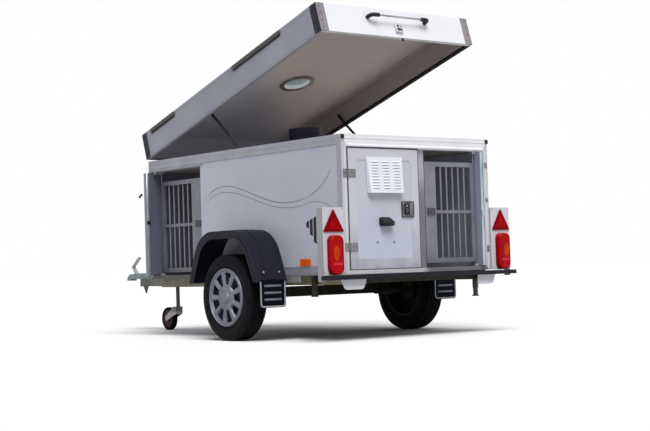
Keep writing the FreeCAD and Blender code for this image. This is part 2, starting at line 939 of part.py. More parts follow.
def lid_lock():
    """The lock's rounded plate with its turning tongue below."""
    back = lid_front_x - lid_length
    half = lid_lock_width / 2
    z = lid_bottom + lid_lock_centre_h
    plate = slab(
        rectangle(-half, half, z - lid_lock_height / 2, z + lid_lock_height / 2, lid_lock_depth / 2),
        rear_plane, back - lid_lock_depth, lid_lock_depth,
    )
    barrel = rod(lid_lock_depth, V(back - lid_lock_depth * 2, 0, z), V(back - lid_lock_depth, 0, z))
    return lid_place(plate.fuse(barrel))


def lid_vent():
    """The ring round the roof vent inside the lid, its throat and the low cap on the roof."""
    centre = V(duct_x(), 0, lid_bottom)
    inner_top = lid_height - lid_roof
    ring = rod(vent_outer_radius, centre + V(0, 0, inner_top - vent_ring_height), centre + V(0, 0, inner_top))
    throat = rod(vent_hole_radius - soft_gap, centre + V(0, 0, inner_top), centre + V(0, 0, lid_height))
    cap = Part.makeCone(vent_cap_radius, vent_hole_radius, vent_cap_height, centre + V(0, 0, lid_height))
    whole = fused([ring, throat, cap])
    bore = rod(vent_hole_radius - duct_wall, centre, centre + V(0, 0, lid_height + vent_cap_height / 2))
    return lid_place(whole.cut(bore))


def lid_hoods():
    """The raised strips over the lid's side slots."""
    pieces = []
    for start, length in zip(hood_starts, hood_lengths):
        strip = lid_box(start, start + length, lid_half_width, lid_half_width + hood_proud,
                        hood_top_h - hood_height, hood_top_h)
        pieces += [strip, mirrored(strip)]
    return lid_place(Part.Compound(pieces))


def vent_duct():
    """The ribbed air duct on the compartments' ceiling, under the lid's vent."""
    low = V(duct_x(), 0, deck_top)
    high = V(duct_x(), 0, body_top + duct_top)
    outer = rod(duct_radius, low, high)
    pitch = (high.z - low.z) / (duct_ribs + 1)
    for i in range(duct_ribs):
        z = low.z + pitch * (i + 1)
        outer = outer.cut(rod(duct_radius + overrun, V(low.x, 0, z), V(low.x, 0, z + duct_rib_height)).cut(
            rod(duct_radius - duct_rib_depth, V(low.x, 0, z), V(low.x, 0, z + duct_rib_height))))
    bore = rod(duct_radius - duct_wall - duct_rib_depth, low - V(0, 0, overrun), high + V(0, 0, overrun))
    return outer.cut(bore)


def strut_ends():
    """The lid pin and the body pin of the left gas strut, with the lid open."""
    top = lid_point(strut_pin_along, strut_pin_height, strut_y)
    low = V(strut_low_x, strut_y, body_top - strut_low_drop)
    return top, low


def strut_tube_length():
    top, low = strut_ends()
    return (low - top).Length * strut_tube_share


def strut_cylinder_left():
    top, low = strut_ends()
    way = (low - top).normalize()
    start = top + way * (strut_eye_radius / 2)
    end = top + way * strut_tube_length()
    half = strut_eye_thickness / 2
    eye = rod(strut_eye_radius, top - V(0, half, 0), top + V(0, half, 0))
    tube = rod(strut_tube_radius, start, end).fuse(eye)
    across = V(0, strut_eye_thickness, 0)
    stud = rod(strut_stud_radius + running_gap, top - across, top + across)
    bore = rod(strut_rod_radius + running_gap, start + way * strut_bore_spare, end + way * overrun)
    return tube.cut(bore).cut(stud)


def strut_rod_left():
    top, low = strut_ends()
    way = (low - top).normalize()
    start = top + way * (strut_tube_length() - strut_overlap)
    half = strut_eye_thickness / 2
    eye = rod(strut_eye_radius, low - V(0, half, 0), low + V(0, half, 0))
    return rod(strut_rod_radius, start, low).fuse(eye)


def lid_strut_brackets():
    """Plates and studs on the lid's inner walls that carry the struts."""
    inner = lid_half_width - lid_wall
    eye_side = strut_y + strut_tube_radius + strut_gap
    half = strut_bracket_size / 2
    at = V(lid_front_x - strut_pin_along, 0, lid_bottom + strut_pin_height)
    block = box(at.x - half, at.x + half, eye_side, inner, at.z - half, at.z + half)
    stud = rod(strut_stud_radius, V(at.x, strut_y - strut_eye_thickness, at.z), V(at.x, inner, at.z))
    return lid_place(both_sides(block.fuse(stud)))


def body_strut_brackets():
    """Blocks on the body's inner sides, beside the struts' lower eyes."""
    low = strut_ends()[1]
    eye_side = strut_y + strut_rod_radius + strut_gap
    half = strut_bracket_size / 2
    block = box(low.x - half, low.x + half, eye_side, rail_inner, low.z - half / 2, body_top - clearance)
    return both_sides(block)


def tyre_left():
    """The tyre's section with its bead seats, turned about the wheel's axle."""
    half = tyre_width / 2
    bead = rim_width / 2
    side = (tyre_radius + tyre_bead_radius) / 2
    corners = [
        (tyre_bead_radius, -bead, 0),
        (hubcap_radius + soft_gap, -bead, 0),
        (side, -half, tyre_side_radius),
        (tyre_radius - tyre_shoulder / 2, -tyre_flat / 2 - tyre_shoulder / 2, tyre_shoulder),
        (tyre_radius, -tyre_flat / 2, tyre_shoulder),
    ]
    return turned_about_axle(corners + [(r, -y, round_by) for r, y, round_by in reversed(corners)])


def wheel_centre():
    return V(wheel_x, hub_face_y - hubcap_depth - rim_width / 2, wheel_z)


def turned_about_axle(corners):
    face = Part.Face(Part.Wire(rounded_edges(corners, True, top_plane)))
    shape = face.revolve(V(0, 0, 0), V(0, 1, 0), 360)
    shape.translate(wheel_centre())
    return shape


def rim_left():
    """The steel rim: barrel, flanges and the disc that bolts to the hub."""
    half = rim_width / 2
    outer = tyre_bead_radius - soft_gap
    lip = hubcap_radius - soft_gap
    barrel = [
        (outer - rim_wall, -half - rim_wall, 0), (lip, -half - rim_wall, 0), (lip, -half - soft_gap, 0),
        (outer, -half - soft_gap, 0), (outer, half + soft_gap, 0), (lip, half + soft_gap, 0),
        (lip, half + rim_wall, 0), (outer - rim_wall, half + rim_wall, 0),
    ]
    disc_in = rim_disc_offset - rim_disc_thickness
    disc = [(stub_radius + soft_gap, disc_in, 0), (outer, disc_in, 0), (outer, rim_disc_offset, 0),
            (stub_radius + soft_gap, rim_disc_offset, 0)]
    return turned_about_axle(barrel).fuse(turned_about_axle(disc)).removeSplitter()


def hubcap_left():
    """The dished cover with its ring of windows and raised middle."""
    half = rim_width / 2
    back = half + rim_wall
    front = half + hubcap_depth
    dish = front - hubcap_dish
    profile = [
        (0, dish - hubcap_wall, 0),
        (hubcap_radius - hubcap_lip - hubcap_wall, dish - hubcap_wall, 0),
        (hubcap_radius - hubcap_lip, back, 0),
        (hubcap_radius - soft_gap, back, 0),
        (hubcap_radius - soft_gap, front - hubcap_wall, hubcap_wall / 2),
        (hubcap_radius - hubcap_lip, front, hubcap_wall / 2),
        (hubcap_radius - hubcap_lip * 2, dish, hubcap_wall),
        (hubcap_nose_radius + hubcap_wall, dish, hubcap_wall),
        (hubcap_nose_radius, dish + hubcap_nose_proud, hubcap_wall / 2),
        (0, dish + hubcap_nose_proud, 0),
    ]
    cap = turned_about_axle(profile)
    centre = wheel_centre()
    spread = math.radians(spoke_window_deg)
    inner_x = spoke_window_inner * math.cos(spread / 2)
    inner_half = spoke_window_inner * math.sin(spread / 2)
    outer_x = spoke_window_outer * math.cos(spread)
    outer_half = spoke_window_outer * math.sin(spread)
    window = slab(
        [
            (inner_x, -inner_half, hubcap_wall),
            (outer_x, -outer_half, hubcap_wall),
            (outer_x, outer_half, hubcap_wall),
            (inner_x, inner_half, hubcap_wall),
        ],
        side_plane, half, hubcap_depth + overrun,
    )
    for i in range(hubcap_spokes):
        cutter = window.copy()
        cutter.rotate(V(0, 0, 0), V(0, 1, 0), 360 * (i + 1 / 2) / hubcap_spokes)
        cutter.translate(centre)
        cap = cap.cut(cutter)
    return cap


def swing_arm_left():
    """The trailing arm, hub drum and stub axle that carry the left wheel."""
    centre = wheel_centre()
    root = V(wheel_x + axle_ahead, axle_half, axle_z)
    tip = V(wheel_x, axle_half, wheel_z)
    hub_out = centre.y + rim_disc_offset - rim_disc_thickness - soft_gap
    arm = fused([
        rod(arm_root_radius, root, root + V(0, arm_thickness, 0)),
        rod(arm_tip_radius, tip, tip + V(0, arm_thickness, 0)),
        slab(
            [
                (tip.x, tip.z - arm_tip_radius, 0), (root.x, root.z - arm_root_radius, 0),
                (root.x, root.z + arm_root_radius, 0), (tip.x, tip.z + arm_tip_radius, 0),
            ],
            side_plane, axle_half, arm_thickness,
        ),
        rod(stub_radius, tip, V(wheel_x, centre.y + rim_disc_offset, wheel_z)),
        rod(hub_radius, V(wheel_x, hub_out - hub_length, wheel_z), V(wheel_x, hub_out, wheel_z)),
    ])
    return arm


def swing_arms():
    return both_sides(swing_arm_left())


def axle_beam():
    """The square torsion tube under the rails, with its saddle plates."""
    half = axle_size / 2
    x = wheel_x + axle_ahead
    beam = box(x - half, x + half, -axle_half, axle_half, axle_z - half, axle_z + half)
    inner = half - rail_wall
    beam = beam.cut(box(x - inner, x + inner, -axle_half - overrun, axle_half + overrun,
                        axle_z - inner, axle_z + inner))
    saddle = box(x - half, x + half, axle_half - rail_width, axle_half, axle_z + half, rail_low_z)
    return fused([beam, saddle, mirrored(saddle)])


def chassis_frame():
    """Two long rails of channel section and the cross members between them, and the rear stands' sleeves."""
    out = rail_half_gauge + rail_width / 2
    inn = rail_half_gauge - rail_width / 2
    rail = box(rail_rear_x, rail_front_x, inn, out, rail_low_z, rail_top_z)
    rail = rail.cut(box(rail_rear_x - overrun, rail_front_x + overrun, inn - overrun, out - rail_wall,
                        rail_low_z + rail_wall, rail_top_z - rail_wall))
    pieces = [rail, mirrored(rail)]
    half = cross_width / 2
    for x in cross_member_x:
        member = box(x - half, x + half, -out + rail_wall, out - rail_wall, rail_low_z + rail_wall,
                     rail_top_z - rail_wall)
        inner = half - rail_wall
        member = member.cut(box(x - inner, x + inner, -out, out, rail_low_z + rail_wall * 2,
                                rail_top_z - rail_wall * 2))
        pieces.append(member)
    bores = []
    for x, y in ((stand_left_x, stand_y), (stand_right_x, -stand_y)):
        sleeve = rod(stand_radius, V(x, y, stand_sleeve_bottom), V(x, y, rail_top_z))
        bores.append(rod(stand_radius - stand_wall, V(x, y, 0), V(x, y, stand_top + stand_wall)))
        near = math.copysign(out - rail_wall, y)
        far = math.copysign(stand_y - stand_radius + stand_wall, y)
        ear = box(x - stand_wall, x + stand_wall, min(near, far), max(near, far),
                  rail_low_z, rail_top_z - rail_wall)
        pieces += [sleeve, ear]
    frame = fused(pieces)
    return frame.cut(Part.Compound(bores))


def stand(x, y, bottom):
    """A round leg in its sleeve, with its foot."""
    radius = stand_radius - stand_wall - running_gap
    leg = rod(radius, V(x, y, bottom), V(x, y, stand_top))
    foot = rod(stand_foot_radius, V(x, y, bottom), V(x, y, bottom + stand_foot_height))
    return leg.fuse(foot)


def drawbar():
    """The V-shaped arms, the plate between them with the jockey wheel's clamp, and the nose."""
    way = V(arm_end_x - arm_start_x, arm_end_y - arm_start_y, 0)
    side = V(-way.y, way.x, 0).normalize() * (arm_width / 2)
    start = V(arm_start_x, arm_start_y, rail_low_z) - way.normalize() * arm_width
    end = V(arm_end_x, arm_end_y, rail_low_z)
    corners = [start + side, start - side, end - side, end + side]
    arm = Part.Face(Part.makePolygon(corners + corners[:1])).extrude(V(0, 0, rail_height - clearance))
    arm = arm.common(box(arm_start_x, nose_end_x, 0, rail_half_gauge, 0, rail_top_z))
    nose = slab(rectangle(nose_start_x, nose_end_x, -nose_half_width, nose_half_width, rail_wall),
                top_plane, rail_low_z, rail_height)
    share = (arm_end_x - jockey_x) / (arm_end_x - arm_start_x)
    reach = arm_end_y + (arm_start_y - arm_end_y) * share
    cross = box(jockey_x - jockey_clamp_radius, jockey_x + jockey_clamp_radius, -reach, reach,
                rail_low_z, rail_low_z + lug_thickness)
    collar = rod(jockey_clamp_radius, V(jockey_x, jockey_y, rail_low_z),
                 V(jockey_x, jockey_y, rail_low_z + jockey_clamp_height))
    lug = box(jockey_x, jockey_x + jockey_clamp_radius + jockey_clamp_lug,
              -lug_thickness / 2, lug_thickness / 2,
              rail_low_z + lug_thickness, rail_low_z + jockey_clamp_height - lug_thickness)
    ear = slab(
        [(lug_x - lug_half * 2, rail_low_z, 0), (lug_x, rail_low_z, 0),
         (lug_x, rail_low_z + lug_thickness, 0), (lug_x - lug_half * 2, rail_low_z + lug_thickness, 0)],
        side_plane, -lug_half, lug_half * 2,
    )
    point = slab(
        [(lug_x - lug_half, rail_low_z - lug_drop, 0), (lug_x, rail_low_z, 0),
         (lug_x - lug_half * 2, rail_low_z, 0)],
        side_plane, -lug_thickness / 2, lug_thickness,
    )
    frame = fused([arm, mirrored(arm), nose, cross, collar, lug, ear, point])
    bore = rod(jockey_tube_radius + running_gap, V(jockey_x, jockey_y, 0), V(jockey_x, jockey_y, body_top))
    return frame.cut(bore)


def coupling_head():
    """The pressed ball coupling with its round socket, open below."""
    ball = V(coupling_ball_x, 0, rail_top_z)
    top = rail_top_z + coupling_height
    body = slab(
        [
            (coupling_start_x, -coupling_body_half, rail_wall), (coupling_ball_x, -coupling_body_half, 0),
            (coupling_ball_x, coupling_body_half, 0), (coupling_start_x, coupling_body_half, rail_wall),
        ],
        top_plane, rail_top_z, coupling_height,
    )
    slope = slab(
        [(coupling_ball_x + coupling_shell_radius, top, 0), (coupling_ball_x, top + overrun, 0),
         (coupling_start_x + nose_half_width, top + overrun, 0), (coupling_ball_x, top - lug_thickness, 0)],
        side_plane, -coupling_shell_radius, coupling_shell_radius * 2,
    )
    shell = Part.makeSphere(coupling_shell_radius, ball)
    reach = coupling_shell_radius * 2
    below = box(ball.x - reach, ball.x + reach, -reach, reach, 0, ball.z - coupling_ball_radius / 2)
    socket = Part.makeSphere(coupling_ball_radius, ball)
    throat = rod(coupling_ball_radius, V(ball.x, 0, 0), ball)
    return fused([body.cut(slope), shell]).cut(below).cut(socket).cut(throat)


def coupling_lever():
    """The raised release lever on the coupling."""
    top = rail_top_z + coupling_height
    foot = lever_foot_x
    knee = foot + lever_knee_ahead
    knee_z = top + lever_knee_rise
    tip = foot - lever_top_back
    outline = [
        (foot - lever_thickness, top, 0),
        (foot + lever_thickness * 2, top, 0),
        (knee + lever_thickness, knee_z, lever_thickness),
        (tip + lever_thickness, top + lever_rise + lever_thickness, lever_thickness / 3),
        (tip - lever_thickness / 2, top + lever_rise, lever_thickness / 3),
        (knee - lever_thickness, knee_z, lever_thickness / 3),
    ]
    lever = slab(outline, side_plane, -lever_width / 2, lever_width)
    pad = box(foot - lever_width, foot + lever_width, -lever_width / 2, lever_width / 2,
              top - lug_thickness, top)
    return lever.fuse(pad).cut(coupling_head())


def jockey_tube():
    """The clamped tube with its winding crank on top."""
    low = V(jockey_x, jockey_y, jockey_tube_bottom)
    high = V(jockey_x, jockey_y, jockey_tube_top)
    elbow = high + V(0, 0, jockey_crank_radius * 4)
    hand = elbow + V(-jockey_crank_reach, 0, 0)
    tube = rod(jockey_tube_radius, low, high)
    bore = rod(jockey_stem_radius + running_gap, low - V(0, 0, overrun), high - V(0, 0, jockey_wall * 4))
    return fused([
        tube.cut(bore),
        rod(jockey_crank_radius, high, elbow),
        rod(jockey_crank_radius, elbow, hand),
        Part.makeSphere(jockey_crank_radius, elbow),
        rod(jockey_grip_radius, hand, hand + V(0, 0, jockey_grip_length)),
    ])


def jockey_axle():
    return V(jockey_x + jockey_trail, jockey_y, jockey_wheel_radius)


def jockey_fork():
    """The swivelling stem, its foot and the two arms that trail from it."""
    axle = jockey_axle()
    foot_top = jockey_tube_bottom - soft_gap
    foot_low = foot_top - jockey_foot_height
    inner = jockey_wheel_width / 2 + jockey_fork_gap
    outer = inner + jockey_fork_thickness
    half = jockey_fork_width / 2
    back = jockey_x - jockey_tube_radius
    ahead = axle.x - jockey_wheel_radius - jockey_fork_gap
    foot = slab(rectangle(back, ahead, -outer, outer, jockey_fork_thickness), top_plane, foot_low,
                foot_top - foot_low)
    arm = slab(
        [(back + jockey_fork_thickness, foot_low, 0), (axle.x, axle.z - half, 0),
         (axle.x + half, axle.z - half, half - jockey_fork_thickness),
         (axle.x + half, axle.z + half, half - jockey_fork_thickness),
         (ahead, foot_top - jockey_fork_thickness, 0),
         (back + jockey_fork_thickness, foot_top - jockey_fork_thickness, 0)],
        side_plane, inner, jockey_fork_thickness,
    )
    stem = rod(jockey_stem_radius, V(jockey_x, jockey_y, foot_low),
               V(jockey_x, jockey_y, jockey_tube_bottom + jockey_stem_length))
    pin = rod(jockey_pin_radius, V(axle.x, -outer - jockey_fork_thickness, axle.z),
              V(axle.x, outer + jockey_fork_thickness, axle.z))
    return fused([foot, arm, mirrored(arm), stem, pin])


def jockey_wheel():
    """The solid rubber tyre on its hub."""
    half = jockey_wheel_width / 2
    axle = jockey_axle()
    profile = [
        (jockey_pin_radius + running_gap, -half - jockey_fork_gap / 2, 0),
        (jockey_hub_radius, -half - jockey_fork_gap / 2, 0),
        (jockey_hub_radius, -half + jockey_fork_thickness, 0),
        (jockey_wheel_radius * 3 / 4, -half + jockey_fork_thickness, 0),
        (jockey_wheel_radius * 3 / 4, -half, 0),
        (jockey_wheel_radius, -half, half / 2),
    ]
    profile += [(r, -y, round_by) for r, y, round_by in reversed(profile)]
    face = Part.Face(Part.Wire(rounded_edges(profile, True, top_plane)))
    wheel = face.revolve(V(0, 0, 0), V(0, 1, 0), 360)
    wheel.translate(axle)
    return wheel


def guard_outline(inset, low_z):
    """The mudguard's side outline, each side drawn in by the same inset."""
    return [
        (guard_centre_x - guard_half_bottom + inset, low_z, 0),
        (guard_centre_x + guard_half_bottom - inset, low_z, 0),
        (guard_centre_x + guard_half_top - inset, guard_top_z - inset, guard_radius - inset),
        (guard_centre_x - guard_half_top + inset, guard_top_z - inset, guard_radius - inset),
    ]


def mudguard_left():
    """A bent strip over the wheel with a stepped crown and a turned-in outer lip."""
    low = guard_bottom_z
    under = low - overrun
    width = guard_outer_y - half_width
    outer = slab(guard_outline(0, low), side_plane, half_width, width)
    hollow = slab(guard_outline(guard_wall, under), side_plane, half_width - overrun,
                  width + overrun - guard_wall)
    lip = slab(guard_outline(guard_lip_depth, under), side_plane, guard_outer_y - guard_wall * 2,
               guard_wall * 3)
    shell = outer.cut(hollow).cut(lip)
    edge = slab(guard_outline(0, under), side_plane, guard_outer_y - guard_step, guard_step + overrun).cut(
        slab(guard_outline(guard_wall / 2, under), side_plane, guard_outer_y - guard_step,
             guard_step + overrun))
    shell = shell.cut(edge)
    ridge = slab(guard_outline(guard_lip_depth - guard_ridge_width, low), side_plane,
                 guard_outer_y - guard_wall, guard_wall + guard_ridge_proud)
    ridge = ridge.cut(slab(guard_outline(guard_lip_depth, under), side_plane, guard_outer_y - guard_wall * 2,
                           guard_wall * 2 + guard_ridge_proud + overrun))
    band = slab(guard_outline(-guard_band_proud, low), side_plane, guard_band_start, guard_band_width)
    band = band.cut(slab(guard_outline(guard_wall / 2, under), side_plane, guard_band_start - overrun,
                         guard_band_width + overrun * 2))
    reach = guard_half_bottom * 2
    flap_zone = box(guard_centre_x - reach, guard_centre_x + reach, 0, guard_outer_y,
                    0, flap_top_z + guard_band_proud)
    return fused([shell, ridge, band.cut(flap_zone)])


def mud_flaps():
    """Rubber plates hung behind the wheels."""
    x = guard_centre_x - guard_half_bottom
    flap = slab(
        [(flap_inner_y, flap_bottom_z, flap_corner), (flap_outer_y, flap_bottom_z, flap_corner),
         (flap_outer_y, flap_top_z, 0), (flap_inner_y, flap_top_z, 0)],
        rear_plane, x - flap_thickness, flap_thickness,
    )
    return both_sides(flap)


def lamp_board_left():
    """The flat plate beside the rear post, folded back along it."""
    plate = slab(rectangle(board_inner_y - board_thickness, board_outer_y, board_bottom_z, board_top_z,
                           board_thickness),
                 rear_plane, board_back_x - board_thickness, board_thickness)
    fold = box(board_back_x - board_thickness, board_tab, half_width, half_width + board_thickness,
               board_bottom_z + board_thickness, board_top_z - board_thickness)
    return plate.fuse(fold).cut(box(-overrun, board_tab, 0, half_width, 0, body_top))


def lamp_boards():
    return both_sides(lamp_board_left())


def board_centre_y():
    return (board_inner_y + board_outer_y) / 2


def warning_triangles():
    face_x = board_back_x - board_thickness
    half = triangle_side / 2
    height = triangle_side * math.sqrt(3) / 2
    y = board_centre_y()
    tip = triangle_depth / 2
    prism = slab(
        [(y - half, triangle_base_z, tip), (y + half, triangle_base_z, tip),
         (y, triangle_base_z + height, tip)],
        rear_plane, face_x - triangle_depth, triangle_depth,
    )
    return both_sides(prism)


def tail_lamps():
    face_x = board_back_x - board_thickness
    half = lamp_width / 2
    y = board_centre_y()
    lamp = slab(rectangle(y - half, y + half, lamp_bottom_z, lamp_bottom_z + lamp_height, half * 3 / 4),
                rear_plane, face_x - lamp_depth, lamp_depth)
    edges = [edge for edge in lamp.Edges if abs(edge.BoundBox.XMax - (face_x - lamp_depth)) < running_gap]
    return both_sides(lamp.makeFillet(lamp_depth / 4, edges))


def rear_bar():
    """The dark bar right across under the rear, with rounded ends."""
    back = bar_front_x - bar_depth
    return slab(
        rectangle(back, bar_front_x, -bar_half_length, bar_half_length, bar_depth / 2 - running_gap),
        top_plane, bar_top_z - bar_height, bar_height,
    )


def bar_brackets():
    low = bar_top_z - bar_height - bracket_height
    y = bracket_centre_y
    plate = slab(
        [(y - bracket_low_half, low, bracket_thickness), (y + bracket_low_half, low, bracket_thickness),
         (y + bracket_top_half, bar_top_z - bar_height / 2, 0),
         (y - bracket_top_half, bar_top_z - bar_height / 2, 0)],
        rear_plane, bar_front_x, bracket_thickness,
    )
    return both_sides(plate)


def side_markers():
    half_l = marker_length / 2
    half_h = marker_height / 2
    marker = slab(rectangle(marker_x - half_l, marker_x + half_l, marker_z - half_h, marker_z + half_h,
                            marker_proud / 2),
                  side_plane, panel_out, marker_proud)
    return both_sides(marker)


def write(name, shape):
    """One file for each node, moved so that the whole stands centred over the origin."""
    placed = shape.copy()
    placed.translate(V(-centre_x, 0, 0))
    placed.exportStep(os.path.join("parts", name + ".step"))


def main():
    os.makedirs("parts", exist_ok=True)
    single = [
        body_frame, floor_panel, side_panels, front_panel, ceiling_deck, partitions, door_runners,
        rear_door_left, rear_door_right, side_doors, door_fittings, vent_cover, plate_lamp,
        barred_door_rear, barred_door_left, vent_duct,
        lid_shell, lid_hinge_brackets, lid_seal, lid_handle, lid_lock, lid_vent, lid_hoods,
        lid_strut_brackets, body_strut_brackets, corner_buffers,
        chassis_frame, drawbar, coupling_head, coupling_lever, axle_beam, swing_arms,
        jockey_tube, jockey_fork, jockey_wheel,
        mud_flaps, lamp_boards, warning_triangles, tail_lamps, rear_bar, bar_brackets, side_markers,
    ]
    for make in single:
        write(make.__name__, make())
    write("lid_corners", lid_place(corner_profiles()))
    write("barred_door_right", mirrored(barred_door_left()))
    write("stand_left", stand(stand_left_x, stand_y, stand_left_bottom))
    write("stand_right", stand(stand_right_x, -stand_y, stand_right_bottom))
    for make in (tyre_left, rim_left, hubcap_left, mudguard_left, strut_cylinder_left, strut_rod_left):
        shape = make()
        write(make.__name__, shape)
        write(make.__name__.replace("_left", "_right"), mirrored(shape))


main()
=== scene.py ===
import math
import bpy
from mathutils import Matrix, Vector

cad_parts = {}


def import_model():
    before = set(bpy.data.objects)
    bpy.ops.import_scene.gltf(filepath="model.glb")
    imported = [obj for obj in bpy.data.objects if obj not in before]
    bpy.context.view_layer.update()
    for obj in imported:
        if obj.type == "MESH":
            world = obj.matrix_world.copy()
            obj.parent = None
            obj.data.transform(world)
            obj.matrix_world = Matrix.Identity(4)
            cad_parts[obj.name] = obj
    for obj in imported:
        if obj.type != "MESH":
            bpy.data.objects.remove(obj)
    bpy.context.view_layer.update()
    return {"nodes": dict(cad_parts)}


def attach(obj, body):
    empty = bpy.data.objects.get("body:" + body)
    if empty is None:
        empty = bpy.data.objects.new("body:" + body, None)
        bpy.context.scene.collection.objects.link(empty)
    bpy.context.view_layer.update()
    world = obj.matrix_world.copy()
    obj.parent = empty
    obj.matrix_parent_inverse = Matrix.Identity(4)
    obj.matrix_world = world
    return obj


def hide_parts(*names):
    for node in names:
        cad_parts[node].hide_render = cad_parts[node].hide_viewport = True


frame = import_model()
NODES = frame["nodes"]
SCENE = bpy.context.scene

# Camera solved from the photo, in the row frame
CAMERA_AT = (-8.5766, 6.0654, 0.4575)
CAMERA_YAW = -0.66334
CAMERA_PITCH = 0.035838
CAMERA_ROLL = -0.031046
CAMERA_FOCAL = 1443.39 / 650 * 36

# Places in the design: its origin, the open lid and its hinge
SHIFT = 1.78
LID_OPEN = math.radians(16.75)
HINGE = (2256, 1317)
COS_OPEN, SIN_OPEN = math.cos(LID_OPEN), math.sin(LID_OPEN)
LID_FRONT = 2244
LID_LOW = 1272
LID_LENGTH = 2197
LID_HALF_WIDTH = 638
LID_INNER_WALL = 610
LINING_UP = 163

# The body's half width at its profiles and at its side skin, the ends of its long rails and of the side
# opening, the open side doors, and the rear of the lamp boards
HALF_WIDTH = 616
SIDE_SKIN = 614
RAIL_REAR, RAIL_FRONT, OPENING_REAR = 48, 2218, 1562
SIDE_DOOR_REAR, SIDE_DOOR_LOW, SIDE_DOOR_HIGH = 2196, 441, 1176
BOARD_REAR = -8


# Materials

def feed(tree, node, inputs):
    """Sets a node's inputs: each a number, a vector, a colour or the output of another node."""
    for socket, value in inputs.items():
        if isinstance(value, bpy.types.NodeSocket):
            tree.links.new(value, node.inputs[socket])
        else:
            node.inputs[socket].default_value = value
    return node


def new_node(tree, kind, inputs=None):
    return feed(tree, tree.nodes.new("ShaderNode" + kind), inputs or {})


def calculate(tree, kind, operation, first, second, output=0):
    node = new_node(tree, kind, {0: first, 1: second})
    node.operation = operation
    return node.outputs[output]


def mix_colour(tree, factor, first, second, blend="MIX"):
    node = new_node(tree, "Mix")
    node.data_type = "RGBA"
    node.blend_type = blend
    first, second = ((*colour, 1) if isinstance(colour, tuple) else colour for colour in (first, second))
    return feed(tree, node, {0: factor, 6: first, 7: second}).outputs[2]


def noise(tree, vector, scale, detail, rough=0.5):
    inputs = {"Vector": vector, "Scale": scale, "Detail": detail, "Roughness": rough}
    return new_node(tree, "TexNoise", inputs).outputs["Fac"]


def spread(tree, value, low, high, to_low=0, to_high=1):
    inputs = {"Value": value, "From Min": low, "From Max": high, "To Min": to_low, "To Max": to_high}
    return new_node(tree, "MapRange", inputs).outputs["Result"]


def object_vector(tree, stretch=(1, 1, 1)):
    place = new_node(tree, "TexCoord").outputs["Object"]
    return new_node(tree, "Mapping", {"Vector": place, "Scale": stretch}).outputs["Vector"]


MATERIALS = {}


def paint(name, light, dark, rough, metal, patch, grain, bump, dust_and_shade=None, dust_and_shade_colour=(0.2, 0.17, 0.13),
          stretch=(1, 1, 1), rough_span=0.1, speck=0.12, coat=0, painted_glow=0, gloss=0.5):
    """A worn surface: slow patches, fine grain, uneven gloss and, where given, another tone near the ground,
    which is dirt on some paints and painted shade on others, and a painted glow.
    """
    material = MATERIALS[name] = bpy.data.materials.new(name)
    material.use_nodes = True
    tree = material.node_tree
    plain = object_vector(tree)
    patches = spread(tree, noise(tree, plain, patch, 4), 0.32, 0.7)
    grains = spread(tree, noise(tree, object_vector(tree, stretch), grain, 2), 0.35, 0.65)
    speckle = mix_colour(tree, grains, (1 - speck,) * 3, (1, 1, 1))
    colour = mix_colour(tree, 1, mix_colour(tree, patches, light, dark), speckle, "MULTIPLY")
    # The tone near the ground: dirt on most paints, painted shade on the doors and the inner walls
    if dust_and_shade:
        low, high, amount = dust_and_shade
        height = new_node(tree, "SeparateXYZ", {"Vector": plain}).outputs["Z"]
        fall = spread(tree, height, low, high, amount, 0)
        broken = spread(tree, noise(tree, plain, 9, 5, 0.6), 0.35, 0.75, 0.35, 1)
        colour = mix_colour(tree, calculate(tree, "Math", "MULTIPLY", fall, broken), colour, dust_and_shade_colour)
    shine = spread(tree, noise(tree, plain, patch * 4, 5), 0.3, 0.7, rough - rough_span, rough + rough_span)
    relief = new_node(tree, "Bump", {"Strength": bump, "Distance": 0.002, "Height": grains})
    shader = feed(tree, tree.nodes["Principled BSDF"], {
        "Base Color": colour, "Roughness": shine, "Metallic": metal, "Specular IOR Level": gloss,
        "Coat Weight": coat, "Coat Roughness": 0.12, "Normal": relief.outputs["Normal"]})
    # Painted glow: emission that stands in for light on surfaces that are no lamps
    if painted_glow:
        feed(tree, shader, {"Emission Color": colour, "Emission Strength": painted_glow})


# Grain along the rails or up the posts, and the even gloss of lenses
ALONG_RAILS, UP_POSTS = (0.15, 0.15, 4), (4, 4, 0.15)
SMOOTH = 0.05

# Name, light and dark colour, roughness, metal, size of patches, fineness of grain, bump
paint("profile", (0.39, 0.4, 0.45), (0.32, 0.33, 0.38), 0.42, 0.25, 5, 260, 0.03,
      stretch=ALONG_RAILS, dust_and_shade=(0.4, 0.62, 0.35))
# A brighter copy of the profile paint for the rear faces: painted light
paint("profile_rear", (0.86, 0.86, 0.9), (0.78, 0.78, 0.82), 0.42, 0.1, 5, 260, 0.03,
      stretch=ALONG_RAILS, dust_and_shade=(0.4, 0.6, 0.2))
paint("profile_jamb", (0.6, 0.6, 0.64), (0.52, 0.52, 0.56), 0.42, 0.15, 5, 260, 0.03,
      stretch=UP_POSTS, dust_and_shade=(0.4, 0.7, 0.25))
# A darker copy of the profile paint for the centre post's rear face: painted shade
paint("profile_post_shaded", (0.42, 0.42, 0.46), (0.33, 0.33, 0.37), 0.42, 0.25, 5, 260, 0.03, stretch=UP_POSTS)
